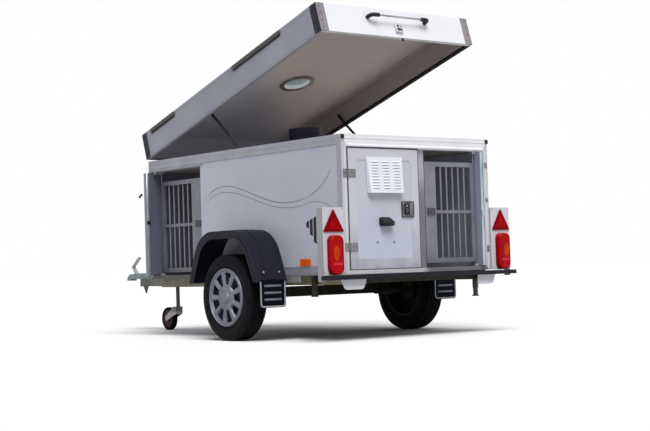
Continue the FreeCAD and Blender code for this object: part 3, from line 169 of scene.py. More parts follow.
# A darker copy of the profile paint for the sills and the door runners: painted shade
paint("profile_sill_shaded", (0.35, 0.35, 0.43), (0.28, 0.28, 0.34), 0.5, 0.2, 6, 260, 0.04,
      stretch=ALONG_RAILS, dust_and_shade=(0.4, 0.47, 0.45))
paint("gap_grey", (0.075, 0.075, 0.085), (0.045, 0.045, 0.052), 0.6, 0, 9, 300, 0.1, gloss=0.2)
paint("rail_plate", (0.8, 0.8, 0.84), (0.66, 0.66, 0.7), 0.45, 0.2, 9, 300, 0.05, dust_and_shade=(0.36, 0.44, 0.3))
paint("side_skin", (0.56, 0.575, 0.68), (0.49, 0.505, 0.62), 0.46, 0.04, 1.4, 420, 0.02,
      dust_and_shade=(0.46, 0.72, 0.12))
# Darker and greyer towards the bottom of the door: painted shade
paint("door_skin", (0.6, 0.6, 0.66), (0.53, 0.54, 0.61), 0.48, 0.05, 2, 420, 0.02,
      dust_and_shade=(0.43, 0.74, 0.95), dust_and_shade_colour=(0.24, 0.25, 0.31))
# Darker and bluer towards the bottom of the inset: painted shade
paint("door_inset", (0.56, 0.57, 0.64), (0.5, 0.53, 0.64), 0.44, 0.05, 2.6, 420, 0.02,
      dust_and_shade=(0.48, 0.9, 0.55), dust_and_shade_colour=(0.44, 0.5, 0.68))
# The right rear door in its pocket, in a darkened copy of the door paint: painted shade
paint("pocket_door_shaded", (0.33, 0.37, 0.46), (0.26, 0.29, 0.37), 0.5, 0.1, 2, 420, 0.02, dust_and_shade=(0.43, 0.8, 0.2))
# The side doors' inner faces, darker still towards the bottom: painted shade
paint("shaded_door", (0.115, 0.125, 0.17), (0.085, 0.1, 0.135), 0.5, 0.1, 3, 420, 0.03,
      dust_and_shade=(0.43, 0.8, 0.3), dust_and_shade_colour=(0.06, 0.06, 0.07))
paint("front_skin", (0.6, 0.61, 0.68), (0.53, 0.54, 0.62), 0.46, 0.1, 1.4, 420, 0.02, dust_and_shade=(0.46, 0.8, 0.2))
# Darker towards the floor as painted shade, with a faint painted glow for the light inside the compartments
paint("inner_wall", (0.94, 0.9, 0.86), (0.84, 0.8, 0.78), 0.55, 0.1, 3, 260, 0.05,
      dust_and_shade=(0.44, 0.8, 0.4), dust_and_shade_colour=(0.3, 0.28, 0.24), painted_glow=0.075)
paint("lid_skin", (0.33, 0.34, 0.405), (0.275, 0.285, 0.345), 0.45, 0.08, 1.2, 420, 0.02)
paint("lid_lining", (0.985, 0.875, 0.81), (0.94, 0.83, 0.775), 0.75, 0, 1.1, 300, 0.12)
paint("lid_wall", (0.49, 0.42, 0.38), (0.385, 0.34, 0.325), 0.75, 0, 1.4, 300, 0.12)
paint("lid_front", (0.57, 0.55, 0.63), (0.48, 0.47, 0.54), 0.75, 0, 1.4, 300, 0.12)
paint("rim_pale", (0.8, 0.83, 0.8), (0.7, 0.73, 0.71), 0.55, 0, 6, 300, 0.05)
# A darker copy of the rear profile paint for the rear sill: painted shade
paint("rear_sill_shaded", (0.6, 0.6, 0.64), (0.52, 0.52, 0.56), 0.45, 0.15, 5, 260, 0.03)
paint("edge_grey", (0.3, 0.31, 0.35), (0.22, 0.23, 0.27), 0.45, 0.2, 6, 300, 0.03)
# The lit side of the vent's inner wall, pale and glowing: painted light
paint("vent_wall", (0.8, 0.8, 0.82), (0.7, 0.7, 0.72), 0.5, 0, 8, 300, 0.03, painted_glow=0.25)
paint("lid_rim", (0.42, 0.43, 0.47), (0.34, 0.35, 0.38), 0.55, 0.2, 6, 300, 0.05)
paint("deck_board", (0.3, 0.27, 0.24), (0.2, 0.18, 0.16), 0.6, 0, 4, 200, 0.2)
paint("floor_board", (0.07, 0.062, 0.045), (0.04, 0.036, 0.028), 0.7, 0, 4, 140, 0.25, stretch=(1, 6, 1))
paint("white_plastic", (0.86, 0.885, 0.95), (0.785, 0.805, 0.87), 0.35, 0, 3, 300, 0.02, coat=0.15)
paint("board_white", (0.66, 0.65, 0.7), (0.58, 0.57, 0.62), 0.4, 0, 3, 300, 0.02, coat=0.1,
      dust_and_shade=(0.36, 0.6, 0.15))
paint("board_side", (0.4, 0.395, 0.425), (0.34, 0.335, 0.365), 0.5, 0, 5, 300, 0.03, dust_and_shade=(0.34, 0.6, 0.2))
paint("black_plastic", (0.012, 0.012, 0.017), (0.007, 0.007, 0.011), 0.5, 0, 5, 500, 0.25,
      rough_span=0.12, gloss=0.22)
paint("guard_plastic", (0.008, 0.009, 0.017), (0.013, 0.014, 0.025), 0.5, 0, 4, 420, 0.3,
      dust_and_shade=(0.25, 0.6, 0.08), dust_and_shade_colour=(0.06, 0.055, 0.055), gloss=0.12)
paint("corner_plastic", (0.012, 0.012, 0.022), (0.008, 0.008, 0.015), 0.45, 0, 4, 420, 0.15, gloss=0.2)
# A pale tone for the black corner strips' rear faces, which is painted light, and for the sheets beside them
paint("corner_strip", (0.3, 0.27, 0.3), (0.22, 0.195, 0.22), 0.5, 0.1, 9, 420, 0.1)
paint("galvanised", (0.15, 0.145, 0.12), (0.085, 0.08, 0.062), 0.55, 0.35, 26, 90, 0.1, rough_span=0.14,
      speck=0.25, gloss=0.3)
# Near-black steel for the axle, the left stand and the chassis' undersides and rear ends: painted shade under
# the body
paint("under_steel_shaded", (0.05, 0.047, 0.034), (0.022, 0.02, 0.014), 0.65, 0.1, 22, 90, 0.15, speck=0.3,
      gloss=0.15)
paint("web_zinc", (0.32, 0.29, 0.185), (0.2, 0.18, 0.115), 0.5, 0.3, 7, 90, 0.06, speck=0.2,
      dust_and_shade=(0.33, 0.4, 0.7), dust_and_shade_colour=(0.16, 0.14, 0.08))
paint("zinc_plate", (0.42, 0.42, 0.44), (0.3, 0.3, 0.32), 0.4, 0.7, 12, 300, 0.05)
paint("hinge_grey", (0.21, 0.2, 0.225), (0.14, 0.135, 0.15), 0.45, 0.35, 16, 300, 0.06)
paint("lever_zinc", (0.52, 0.54, 0.54), (0.36, 0.38, 0.38), 0.42, 0.4, 16, 260, 0.08)
paint("bright_metal", (0.72, 0.72, 0.74), (0.6, 0.6, 0.62), 0.22, 0.9, 6, 500, 0.02, rough_span=0.06)
paint("barred_steel", (0.235, 0.24, 0.285), (0.17, 0.175, 0.21), 0.42, 0.45, 7, 320, 0.04,
      stretch=(1, 1, 0.1))
paint("dark_bar", (0.015, 0.015, 0.024), (0.009, 0.009, 0.014), 0.45, 0.1, 8, 300, 0.1, gloss=0.15)
# Nearly black rims, as dark as the shade inside the wheels: painted shade
paint("rim", (0.012, 0.012, 0.013), (0.006, 0.006, 0.006), 0.6, 0.1, 8, 300, 0.08, gloss=0.15)
paint("hubcap", (0.22, 0.23, 0.29), (0.15, 0.16, 0.2), 0.42, 0.3, 9, 420, 0.04, dust_and_shade=(0.05, 0.5, 0.12),
      gloss=0.4)
paint("tyre", (0.0045, 0.0045, 0.0075), (0.008, 0.0078, 0.0095), 0.75, 0, 8, 500, 0.3,
      dust_and_shade=(0, 0.12, 0.25), dust_and_shade_colour=(0.05, 0.045, 0.035), gloss=0.1)
paint("seal_rubber", (0.008, 0.008, 0.009), (0.012, 0.012, 0.012), 0.7, 0, 8, 500, 0.2, gloss=0.15)
paint("flap_rubber", (0.002, 0.003, 0.005), (0.004, 0.005, 0.008), 0.6, 0, 6, 400, 0.2, gloss=0.05)
paint("red_lens", (0.48, 0.001, 0.005), (0.36, 0.0007, 0.003), 0.22, 0, 18, 240, 0.15, rough_span=SMOOTH,
      gloss=0.08)
paint("red_lens_edge", (0.33, 0.001, 0.009), (0.23, 0.001, 0.007), 0.25, 0, 18, 240, 0.15,
      rough_span=SMOOTH, gloss=0.08)
paint("orange_lens", (0.84, 0.125, 0.002), (0.66, 0.08, 0.001), 0.22, 0, 18, 240, 0.15,
      rough_span=SMOOTH, gloss=0.08)
paint("strut_black", (0.01, 0.01, 0.013), (0.016, 0.016, 0.02), 0.4, 0.1, 8, 400, 0.05, gloss=0.2)
paint("strut_rod", (0.03, 0.028, 0.034), (0.02, 0.018, 0.024), 0.35, 0.6, 8, 400, 0.03, gloss=0.3)
paint("coupling_zinc", (0.23, 0.285, 0.325), (0.14, 0.17, 0.2), 0.48, 0.4, 16, 200, 0.15)
paint("tyre_groove", (0.004, 0.004, 0.005), (0.006, 0.006, 0.006), 0.9, 0, 8, 500, 0.2, gloss=0.1)
# Dark faces that close the hubcap's windows: painted shade behind the cover, with faint bluish patches of
# painted reflection
paint("cap_window", (0.035, 0.04, 0.06), (0.001, 0.001, 0.003), 0.55, 0, 20, 300, 0.03, gloss=0)
paint("amber_lens", (0.6, 0.06, 0.003), (0.42, 0.035, 0.002), 0.22, 0, 18, 240, 0.1,
      rough_span=SMOOTH, gloss=0.08)
# The pale band across the lamp, and a painted highlight on top of its wall
paint("clear_lens", (0.66, 0.045, 0.075), (0.52, 0.02, 0.04), 0.22, 0, 18, 240, 0.1, rough_span=SMOOTH,
      gloss=0.1)
paint("red_reflector", (0.44, 0.0005, 0.001), (0.28, 0.0003, 0.001), 0.28, 0, 42, 900, 0.3,
      rough_span=SMOOTH, gloss=0.04)
paint("red_border", (0.25, 0.0005, 0.006), (0.18, 0.0005, 0.005), 0.3, 0, 30, 600, 0.05,
      rough_span=SMOOTH, gloss=0.04)
paint("dark_gap", (0.006, 0.006, 0.007), (0.01, 0.01, 0.011), 0.6, 0, 20, 500, 0.1, gloss=0.15)
paint("latch_grey", (0.088, 0.085, 0.095), (0.06, 0.057, 0.068), 0.45, 0.3, 14, 400, 0.08)
paint("grommet", (0.16, 0.18, 0.24), (0.11, 0.13, 0.17), 0.5, 0, 14, 400, 0.05)
paint("line_vinyl", (0.12, 0.12, 0.15), (0.16, 0.16, 0.19), 0.5, 0, 6, 300, 0.02)
paint("black_vinyl", (0.006, 0.006, 0.008), (0.01, 0.01, 0.012), 0.45, 0, 6, 300, 0.02, gloss=0.2)
paint("pale_rubber", (0.42, 0.44, 0.48), (0.3, 0.32, 0.36), 0.6, 0, 16, 300, 0.1)
paint("lid_white", (0.87, 0.88, 0.93), (0.82, 0.83, 0.89), 0.42, 0.03, 1.6, 420, 0.02)
paint("hood_smoke", (0.06, 0.052, 0.043), (0.035, 0.03, 0.026), 0.4, 0, 6, 300, 0.05, coat=0.2, gloss=0.3)
# Bright bluish edges of the open doors: painted highlight
paint("door_edge", (0.6, 0.68, 0.78), (0.34, 0.42, 0.52), 0.3, 0.6, 5, 400, 0.03, stretch=(1, 1, 0.1))
# The vent's pale cap, with a faint painted glow
paint("vent_glass", (0.62, 0.78, 0.84), (0.42, 0.56, 0.62), 0.35, 0, 14, 300, 0.05, painted_glow=0.06)
paint("vent_ring", (0.26, 0.2, 0.19), (0.16, 0.125, 0.12), 0.4, 0.2, 9, 300, 0.05, coat=0.2)
paint("duct_black", (0.024, 0.024, 0.048), (0.032, 0.032, 0.06), 0.5, 0, 12, 300, 0.1, gloss=0.15)
paint("olive_steel", (0.12, 0.11, 0.08), (0.07, 0.065, 0.045), 0.5, 0.4, 16, 200, 0.08, gloss=0.3)
paint("fork_white", (0.66, 0.66, 0.64), (0.5, 0.49, 0.47), 0.45, 0.2, 16, 200, 0.08)
paint("wheel_core", (0.075, 0.028, 0.024), (0.04, 0.02, 0.018), 0.6, 0, 16, 260, 0.2, gloss=0.2)


def tint(name, way, near, far, colour, stretch=(1, 1, 1), operation="DOT_PRODUCT"):
    """Multiplies a paint by a colour, more and more from near to far along the way, or round a place."""
    tree = MATERIALS[name].node_tree
    base = tree.nodes["Principled BSDF"].inputs["Base Color"]
    reach = calculate(tree, "VectorMath", operation, object_vector(tree, stretch), way, "Value")
    share = spread(tree, reach, near, far)
    tree.links.new(mix_colour(tree, share, base.links[0].from_socket, colour, "MULTIPLY"), base)


# The lining is cooler to the left of a slanting line, and darker near its rear end: painted shade
tint("lid_lining", (0.8, 1, 0), -0.36, -0.04, (0.74, 0.81, 1))
tint("lid_lining", (1, 0, 0), -0.6, -1.15, (0.62, 0.63, 0.66))
# Shade on the skin inside the wheel arches, on the sills in the openings, low on the barred doors and
# the centre post, on the chassis webs towards the front, and at the jockey fork's upper end
tint("side_skin", (-0.802, 0, 0.281), 0.43, 0.36, (0.36, 0.35, 0.34), (1, 0, 1), "DISTANCE")
tint("profile_sill_shaded", (1, 0, 0), -0.235, -0.205, (0.22, 0.215, 0.2))
tint("rear_sill_shaded", (0, 1, 0), -0.01, -0.08, (0.27, 0.27, 0.27))
tint("barred_steel", (0, 0, 1), 0.53, 0.445, (0.55, 0.54, 0.52))
tint("profile_post_shaded", (0, 0, 1), 1.02, 0.9, (0.46, 0.46, 0.47))
tint("web_zinc", (1, 0, 0), -0.9, -0.4, (0.72, 0.73, 0.78))
tint("fork_white", (0, 0, 1), 0.13, 0.155, (0.3, 0.29, 0.24))

# The CAD nodes that wear each material
WEARS = {
    "profile": "body_frame", "profile_sill_shaded": "door_runners", "side_skin": "side_panels",
    "front_skin": "front_panel", "door_skin": "rear_door_left", "pocket_door_shaded": "rear_door_right",
    "shaded_door": "side_doors", "inner_wall": "partitions", "deck_board": "ceiling_deck",
    "floor_board": "floor_panel", "lid_skin": "lid_shell", "hood_smoke": "lid_hoods",
    "white_plastic": "vent_cover bar_brackets", "board_white": "lamp_boards",
    "black_plastic": "plate_lamp lid_handle lid_vent corner_buffers", "duct_black": "vent_duct",
    "guard_plastic": "mudguard_left mudguard_right", "corner_plastic": "lid_corners",
    "galvanised": "chassis_frame drawbar", "under_steel_shaded": "axle_beam swing_arms stand_left",
    "zinc_plate": "lid_hinge_brackets body_strut_brackets lid_strut_brackets",
    "hinge_grey": "door_fittings", "bright_metal": "lid_lock",
    "barred_steel": "barred_door_rear barred_door_left barred_door_right", "dark_bar": "rear_bar",
    "lever_zinc": "coupling_lever", "rim": "rim_left rim_right", "hubcap": "hubcap_left hubcap_right",
    "tyre": "tyre_left tyre_right", "seal_rubber": "lid_seal", "flap_rubber": "mud_flaps",
    "red_border": "warning_triangles", "red_lens": "tail_lamps", "orange_lens": "side_markers",
    "strut_black": "strut_cylinder_left strut_cylinder_right",
    "strut_rod": "strut_rod_left strut_rod_right", "coupling_zinc": "coupling_head",
    "olive_steel": "jockey_tube stand_right", "fork_white": "jockey_fork", "tyre_groove": "jockey_wheel",
}

for material, wearers in WEARS.items():
    for node in wearers.split():
        mesh = NODES[node].data
        mesh.materials.clear()
        mesh.materials.append(MATERIALS[material])


def at(x, y, z):
    """A point given in the design's millimetres."""
    return (x / 1000 - SHIFT, y / 1000, z / 1000)


def on_lid(along, height_up, y):
    """A point of the open lid: along from its front edge, up from its lower edge."""
    dx = LID_FRONT - along - HINGE[0]
    dz = LID_LOW + height_up - HINGE[1]
    return at(HINGE[0] + dx * COS_OPEN + dz * SIN_OPEN, y, HINGE[1] - dx * SIN_OPEN + dz * COS_OPEN)


def lid_way(way):
    """A direction of the open lid, turned back to the closed lid: its x and z."""
    return way[0] * COS_OPEN - way[2] * SIN_OPEN, way[0] * SIN_OPEN + way[2] * COS_OPEN


def lid_place(point):
    """The opposite of on_lid, for x and z: how far along and up the lid a point lies."""
    hinge = at(HINGE[0], 0, HINGE[1])
    x, z = lid_way([1000 * (here - there) for here, there in zip(point, hinge)])
    return LID_FRONT - HINGE[0] - x, HINGE[1] - LID_LOW + z


def dress_faces(node, material, chosen):
    """Gives another material to the faces that the test picks, by centre and normal."""
    mesh = NODES[node].data
    mesh.materials.append(MATERIALS[material])
    number = len(mesh.materials) - 1
    for face in mesh.polygons:
        if chosen(face.center, face.normal):
            face.material_index = number


def rear_plane(centre, normal):
    return normal.x < -0.9 and centre.x < 0.03 - SHIFT


def lid_inside(centre, normal):
    along, up = lid_place(centre)
    return 27 < along < 2170 and abs(centre.y) < 0.6111 and 1 < up < 170


dress_faces("body_frame", "profile_rear", rear_plane)
dress_faces("body_frame", "profile_jamb", lambda c, n: rear_plane(c, n) and abs(c.y) > 0.5 and c.z < 1.17)
dress_faces("body_frame", "rear_sill_shaded", lambda c, n: rear_plane(c, n) and c.z < 0.44)
dress_faces("body_frame", "profile_post_shaded", lambda c, n: n.x < -0.9 and abs(c.y) < 0.09 and c.z < 1.17)
dress_faces("body_frame", "profile_sill_shaded", lambda c, n: n.x > -0.9 and c.z < 0.47)
dress_faces("side_panels", "inner_wall", lambda c, n: abs(c.y) < 0.608)
dress_faces("rear_door_left", "door_inset", lambda c, n: n.x < -0.9 and c.x > 0.0015 - SHIFT)
dress_faces("chassis_frame", "web_zinc", lambda c, n: abs(n.y) > 0.9 and 0.558 < abs(c.y) < 0.5635)
dress_faces("chassis_frame", "under_steel_shaded", lambda c, n: n.z < -0.9 or (abs(n.x) > 0.9 and c.x < 0.2 - SHIFT))
dress_faces("chassis_frame", "under_steel_shaded", lambda c, n: c.y > 0.563 and c.x < 0.4 - SHIFT)
dress_faces("chassis_frame", "olive_steel", lambda c, n: c.y < -0.563 and c.x < 0.4 - SHIFT)
dress_faces("lid_shell", "lid_lining", lid_inside)
dress_faces("lid_shell", "seal_rubber", lambda c, n: c.y < -0.6 and lid_way(n)[1] < -0.9
            and lid_place(c)[1] < 2)
dress_faces("lid_shell", "lid_wall", lambda c, n: lid_inside(c, n) and abs(n.y) > 0.9)
dress_faces("lid_shell", "lid_front", lambda c, n: lid_inside(c, n) and abs(lid_way(n)[0]) > 0.9)
dress_faces("lid_seal", "lid_rim", lambda c, n: c.y > 0.6)
dress_faces("lid_seal", "rim_pale", lambda c, n: lid_place(c)[0] > 2154)
# The corner strips' rear faces get the pale tone of painted light
dress_faces("lid_corners", "corner_strip", lambda c, n: lid_way(n)[0] < -0.7)
dress_faces("lid_vent", "vent_ring", lambda c, n: lid_place(c)[1] < 189)
dress_faces("jockey_wheel", "wheel_core", lambda c, n: abs(n.y) > 0.7
            and math.hypot(c.x - 1.222, c.z - 0.09) < 0.066)
dress_faces("lid_shell", "lid_white", lambda c, n: lid_way(n)[0] < -0.9 and lid_place(c)[0] > 2190)
dress_faces("lid_handle", "zinc_plate", lambda c, n: abs(c.y) < 0.178)
dress_faces("lid_vent", "vent_glass", lambda c, n: lid_way(n)[1] < -0.95 and lid_place(c)[1] > 191)
dress_faces("rear_door_right", "door_edge", lambda c, n: n.x < -0.9)
dress_faces("side_doors", "edge_grey", lambda c, n: abs(n.y) > 0.9 and abs(c.y) > 0.63)
dress_faces("door_fittings", "latch_grey", lambda c, n: 0.7 < c.z < 0.9)


def linked(name, data):
    made = bpy.data.objects.new(name, data)
    SCENE.collection.objects.link(made)
    return made


def turned(faces):
    return [tuple(reversed(face)) for face in faces]


class Bundle:
    """Faces gathered into one piece, each with the number of its material."""

    def __init__(self):
        self.points = []
        self.faces = []
        self.finishes = []

    def add(self, points, faces, finishes=0):
        """One number for all the faces, or a list with one for each."""
        start = len(self.points)
        self.points += points
        self.faces += [tuple(start + i for i in face) for face in faces]
        self.finishes += finishes if isinstance(finishes, list) else [finishes] * len(faces)

    def mirrored(self):
        other = Bundle()
        other.add([(x, -y, z) for x, y, z in self.points], turned(self.faces), self.finishes)
        return other

    def both(self):
        """The same faces on both sides, in one piece."""
        whole = Bundle()
        for half in (self, self.mirrored()):
            whole.add(half.points, half.faces, half.finishes)
        return whole

    def make(self, name, body, materials, slot, smooth=None, stands_for=""):
        """Names of materials, and of the CAD nodes that the piece replaces, have spaces between."""
        mesh = bpy.data.meshes.new(name)
        mesh.from_pydata(self.points, [], self.faces)
        for material in materials.split():
            mesh.materials.append(MATERIALS[material])
        for polygon, number in zip(mesh.polygons, self.finishes):
            polygon.material_index = number
        mesh.update()
        if smooth:
            mesh.shade_smooth()
            mesh.set_sharp_from_angle(angle=math.radians(smooth))
        made = linked(name, mesh)
        if stands_for:
            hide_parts(*stands_for.split())
        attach(made, body)


def strip_faces(rows, columns, closed):
    """Quads between rows of points that lie one after the other."""
    faces = []
    across = columns if closed else columns - 1
    for i in range(rows - 1):
        for j in range(across):
            k = (j + 1) % columns
            faces.append((i * columns + j, i * columns + k, (i + 1) * columns + k, (i + 1) * columns + j))
    return faces


def capped(rows, columns, foot=False):
    """Closed rows with a cap on the last one and, with a foot, on the first."""
    faces = strip_faces(rows, columns, True)
    if foot:
        faces.append(tuple(range(columns - 1, -1, -1)))
    return faces + [tuple(range((rows - 1) * columns, rows * columns))]


def raised(bundle, outline, place, base, top, draw=0, finish=0):
    """A flat outline (a, b) raised from base to top, its upper edge drawn in for a chamfer."""
    count = len(outline)
    middle_a = sum(a for a, b in outline) / count
    middle_b = sum(b for a, b in outline) / count

    def ring(depth, inset):
        points = []
        for a, b in outline:
            share = 1 - inset / math.hypot(a - middle_a, b - middle_b)
            points.append(place(middle_a + (a - middle_a) * share, middle_b + (b - middle_b) * share, depth))
        return points

    rings = [ring(base, 0), ring(top - (top - base) * 0.35, 0), ring(top, draw)]
    points = [p for one in rings for p in one]
    bundle.add(points, capped(3, count), finish)


def rounded(a0, a1, b0, b1, radius, steps=4):
    """A rectangle with rounded corners, as an outline."""
    outline = []
    for ca, cb, turn in ((a1 - radius, b1 - radius, 0), (a0 + radius, b1 - radius, 1),
                         (a0 + radius, b0 + radius, 2), (a1 - radius, b0 + radius, 3)):
        for i in range(steps + 1):
            angle = math.pi / 2 * (turn + i / steps)
            outline.append((ca + radius * math.cos(angle), cb + radius * math.sin(angle)))
    return outline


SQUARE = ((-1, -1), (1, -1), (1, 1), (-1, 1))


def circle(a, b, radius, steps=14):
    return [(a + radius * math.cos(2 * math.pi * i / steps), b + radius * math.sin(2 * math.pi * i / steps))
            for i in range(steps)]


def frame_ring(bundle, outer, inner, place, base, top, finish=0, closed=True):
    """A flat ring between two outlines with as many points, raised from base to top."""
    rings = (outer, base), (outer, top), (inner, top), (inner, base)
    points = [place(a, b, depth) for ring, depth in rings for a, b in ring]
    bundle.add(points, strip_faces(4, len(outer), closed), finish)


def screw(bundle, a, b, place, base, radius, proud, slot_finish=None):
    """A domed screw head with a cross of two dark grooves."""
    rows = []
    for share, rise in ((1, 0), (1, 0.35), (0.86, 0.72), (0.55, 0.95), (0.2, 1)):
        rows += [place(c, d, base + proud * rise) for c, d in circle(a, b, radius * share, 12)]
    bundle.add(rows, capped(5, 12))
    if slot_finish:
        for along, across in ((0.5, 0.09), (0.09, 0.5)):
            groove = [place(a + i * radius * along, b + j * radius * across, base + proud * 1.03)
                      for i, j in SQUARE]
            bundle.add(groove, [(0, 1, 2, 3)], slot_finish)


def rear_face(x0):
    """Outlines are (y, z); depth is towards the rear, from the plane x0."""
    return lambda a, b, depth: at(x0 - depth, a, b)


def left_face(y0):
    """Outlines are (x, z); depth is to the left, from the plane y0."""
    return lambda a, b, depth: at(a, y0 + depth, b)


def lid_side(side):
    """The lid's outer face on the side 1, left, or -1, right: outlines are (along, up)."""
    return lambda a, b, depth: on_lid(a, b, side * (LID_HALF_WIDTH + depth))


def lid_within(side):
    """The lid's inner face on that side; depth is towards the lid's middle."""
    return lambda a, b, depth: on_lid(a, b, side * (LID_INNER_WALL - depth))


def lid_rear(y, height_up, depth):
    return on_lid(LID_LENGTH + depth, height_up, y)


def bar_along(bundle, section, start, end, place, finish=0):
    """A straight strip of the same section, a list of (across, depth), from start to end."""
    count = len(section)
    points = [place(start, across, depth) for across, depth in section]
    points += [place(end, across, depth) for across, depth in section]
    faces = strip_faces(2, count, True)
    faces += [tuple(range(count)), tuple(range(2 * count - 1, count - 1, -1))]
    bundle.add(points, faces, finish)


def tube(bundle, path, radius, sides, finish):
    """A round bar through the given points."""
    path = [Vector(p) for p in path]
    rows = []
    for i, here in enumerate(path):
        way = (path[min(i + 1, len(path) - 1)] - path[max(i - 1, 0)]).normalized()
        aside = way.orthogonal().normalized() if i == 0 else (aside - way * aside.dot(way)).normalized()
        up = way.cross(aside)
        rows += [tuple(here + aside * radius * math.cos(2 * math.pi * j / sides)
                       + up * radius * math.sin(2 * math.pi * j / sides)) for j in range(sides)]
    bundle.add(rows, capped(len(path), sides, True), finish)


# Wheels

WHEEL = (978, 756, 281)
TREAD_BLOCKS = 70
BLOCK_TURNS = (0, 0.07, 0.3, 0.37, 0.68)
TREAD, GROOVE, WALL = 0, 1, 2


def wheel_point(radius, across, angle):
    return at(WHEEL[0] + radius * math.cos(angle), WHEEL[1] + across, WHEEL[2] + radius * math.sin(angle))


def tyre():
    """A road tyre with circumferential grooves, cross slots and ringed side walls."""
    side = [(176.5, 58.5), (186, 61.5), (192, 64.5), (197, 68), (199.5, 69.6), (202, 69),
            (212, 72.2), (222, 74.6), (230, 75.2), (234, 76.4), (237, 76.4), (240, 75),
            (247, 73.6), (252, 72.2), (254, 73), (257, 72.4), (259, 70.6), (265, 67.6),
            (270, 65.6), (275, 63), (278.4, 59.6)]
    tread = [(280, 55, TREAD), (280.3, 50, TREAD), (280.5, 41, TREAD), (280.5, 38.5, TREAD),
             (274, 37.5, GROOVE), (274, 31, GROOVE), (280.7, 30, TREAD), (280.8, 21, TREAD),
             (280.8, 14.5, TREAD), (274, 13.5, GROOVE), (274, 7, GROOVE), (281, 6, TREAD)]
    profile = [(r, y, WALL) for r, y in side] + tread
    profile = profile + [(r, -y, kind) for r, y, kind in reversed(profile)]
    pitch = 2 * math.pi / TREAD_BLOCKS
    angles = [pitch * (block + turn) for block in range(TREAD_BLOCKS) for turn in BLOCK_TURNS]
    points = []
    for r, y, kind in profile:
        slotted = (kind == TREAD and abs(y) > 36) or (kind == WALL and r > 266)
        inner_slot = kind == TREAD and 14 < abs(y) < 31
        lean = 0.022 if y > 0 else -0.022
        for i, angle in enumerate(angles):
            depth, shift = 0, lean * (abs(y) - 36) / 30
            if i % len(BLOCK_TURNS) in (1, 2):
                if slotted:
                    depth = 2 if kind == WALL else 4
                elif inner_slot:
                    depth, shift = 4, -lean
            points.append(wheel_point(r - depth, y, angle + shift))
    finishes = []
    for (_, _, kind), (_, _, next_kind) in zip(profile, profile[1:]):
        finishes += [int(GROOVE in (kind, next_kind))] * len(angles)
    bundle = Bundle()
    bundle.add(points, strip_faces(len(profile), len(angles), True), finishes)
    return bundle


CAP_STEPS = 360
CAP_RADII = (0.05, 10, 20, 29, 33, 34.5, 36.5, 38, 42, 46, 49, 52, 55, 58, 61, 64, 67,
             70, 74, 78, 81, 83, 85.5, 88, 92, 98, 104, 110, 116, 122, 128, 134, 140,
             146, 151, 155, 158, 160.5, 163, 165, 167.5, 170, 173, 176, 178, 180.5, 183,
             186, 188, 189.5)


def smooth_step(value, low, high):
    share = min(max((value - low) / (high - low), 0), 1)
    return share * share * (3 - 2 * share)


def cap_height(r, angle):
    """The cover's front, measured from the wheel's middle plane, and whether it is in a window."""
    if r >= 178:
        rim = 76 - 9 * smooth_step(r, 185, 189.6) - 6 * (1 - smooth_step(r, 176, 180.5))
        return rim, False
    base = 69.5 + 2.2 * math.sin(math.pi * min(max((r - 40) / 140, 0), 1))
    if r < 36.5:
        return 77.4 - 1.4 * (r / 33) ** 2 - 6 * smooth_step(r, 33, 36.5), False
    pitch = 2 * math.pi / 9
    turn = (angle + pitch / 2) % pitch - pitch / 2
    nut = 2 * math.pi / 5
    nut_turn = (angle + nut / 2) % nut - nut / 2
    nut_away = math.hypot(r * math.cos(nut_turn) - 57, r * math.sin(nut_turn))
    if nut_away < 9.5:
        return base + 3.6 * (1 - smooth_step(nut_away, 5, 9.5)), False
    across = abs(r * math.sin(turn))
    half_spoke = 9 + (r - 80) * 0.075
    inside = smooth_step(across, half_spoke, half_spoke + 8)
    inside *= smooth_step(r, 80, 88) * (1 - smooth_step(r, 157, 165))
    crown = 1.8 * (1 - (min(across / half_spoke, 1)) ** 2) if 80 < r < 168 else 0
    window_turn = (angle % pitch) / pitch
    slope = 8 + 12 * window_turn
    return base + crown - slope * inside, inside > 0.45


def hubcap():
    angles = [2 * math.pi * i / CAP_STEPS for i in range(CAP_STEPS)]
    points, in_window = [], []
    for r in CAP_RADII:
        for angle in angles:
            across, window = cap_height(r, angle)
            points.append(wheel_point(r, across, angle))
            in_window.append(window)
    faces = strip_faces(len(CAP_RADII), CAP_STEPS, True)
    bundle = Bundle()
    bundle.add(points, turned(faces), [int(all(in_window[i] for i in face)) for face in faces])
    edge = [wheel_point(CAP_RADII[-1], across, angle) for across in (67.2, 66.2) for angle in angles]
    bundle.add(edge, turned(strip_faces(2, CAP_STEPS, True)))
    return bundle


for side in ("left", "right"):
    rubber, cover = tyre(), hubcap()
    if side == "right":
        rubber, cover = rubber.mirrored(), cover.mirrored()
    rubber.make("tread_" + side, "wheel_" + side, "tyre tyre_groove", "tyre", 32, "tyre_" + side)
    cover.make("wheel_cover_" + side, "wheel_" + side, "hubcap cap_window", "hubcap", 40, "hubcap_" + side)


# Lamps

LAMP_Y = 702
LAMP_LOW, LAMP_HIGH = 412, 648
LAMP_HALF_WIDTH = 50
LAMP_EDGE = 12.5
RED, AMBER_OVAL, PALE_BAND_AND_HIGHLIGHT, DARK_RIM = 0, 1, 2, 3
TRIANGLE_LOW, TRIANGLE_HALF = 674, 68
ROOT_3 = 1.732


def lamp_zone(y, z):
    """Which material the lamp's face has at that place."""
    if math.hypot((y - LAMP_Y - 10) / 22, (z - 540) / 44) < 1:
        return AMBER_OVAL
    if 468 < z < 482 and abs(y - LAMP_Y) < 34:
        return PALE_BAND_AND_HIGHLIGHT
    return DARK_RIM if y - LAMP_Y < -29 else RED


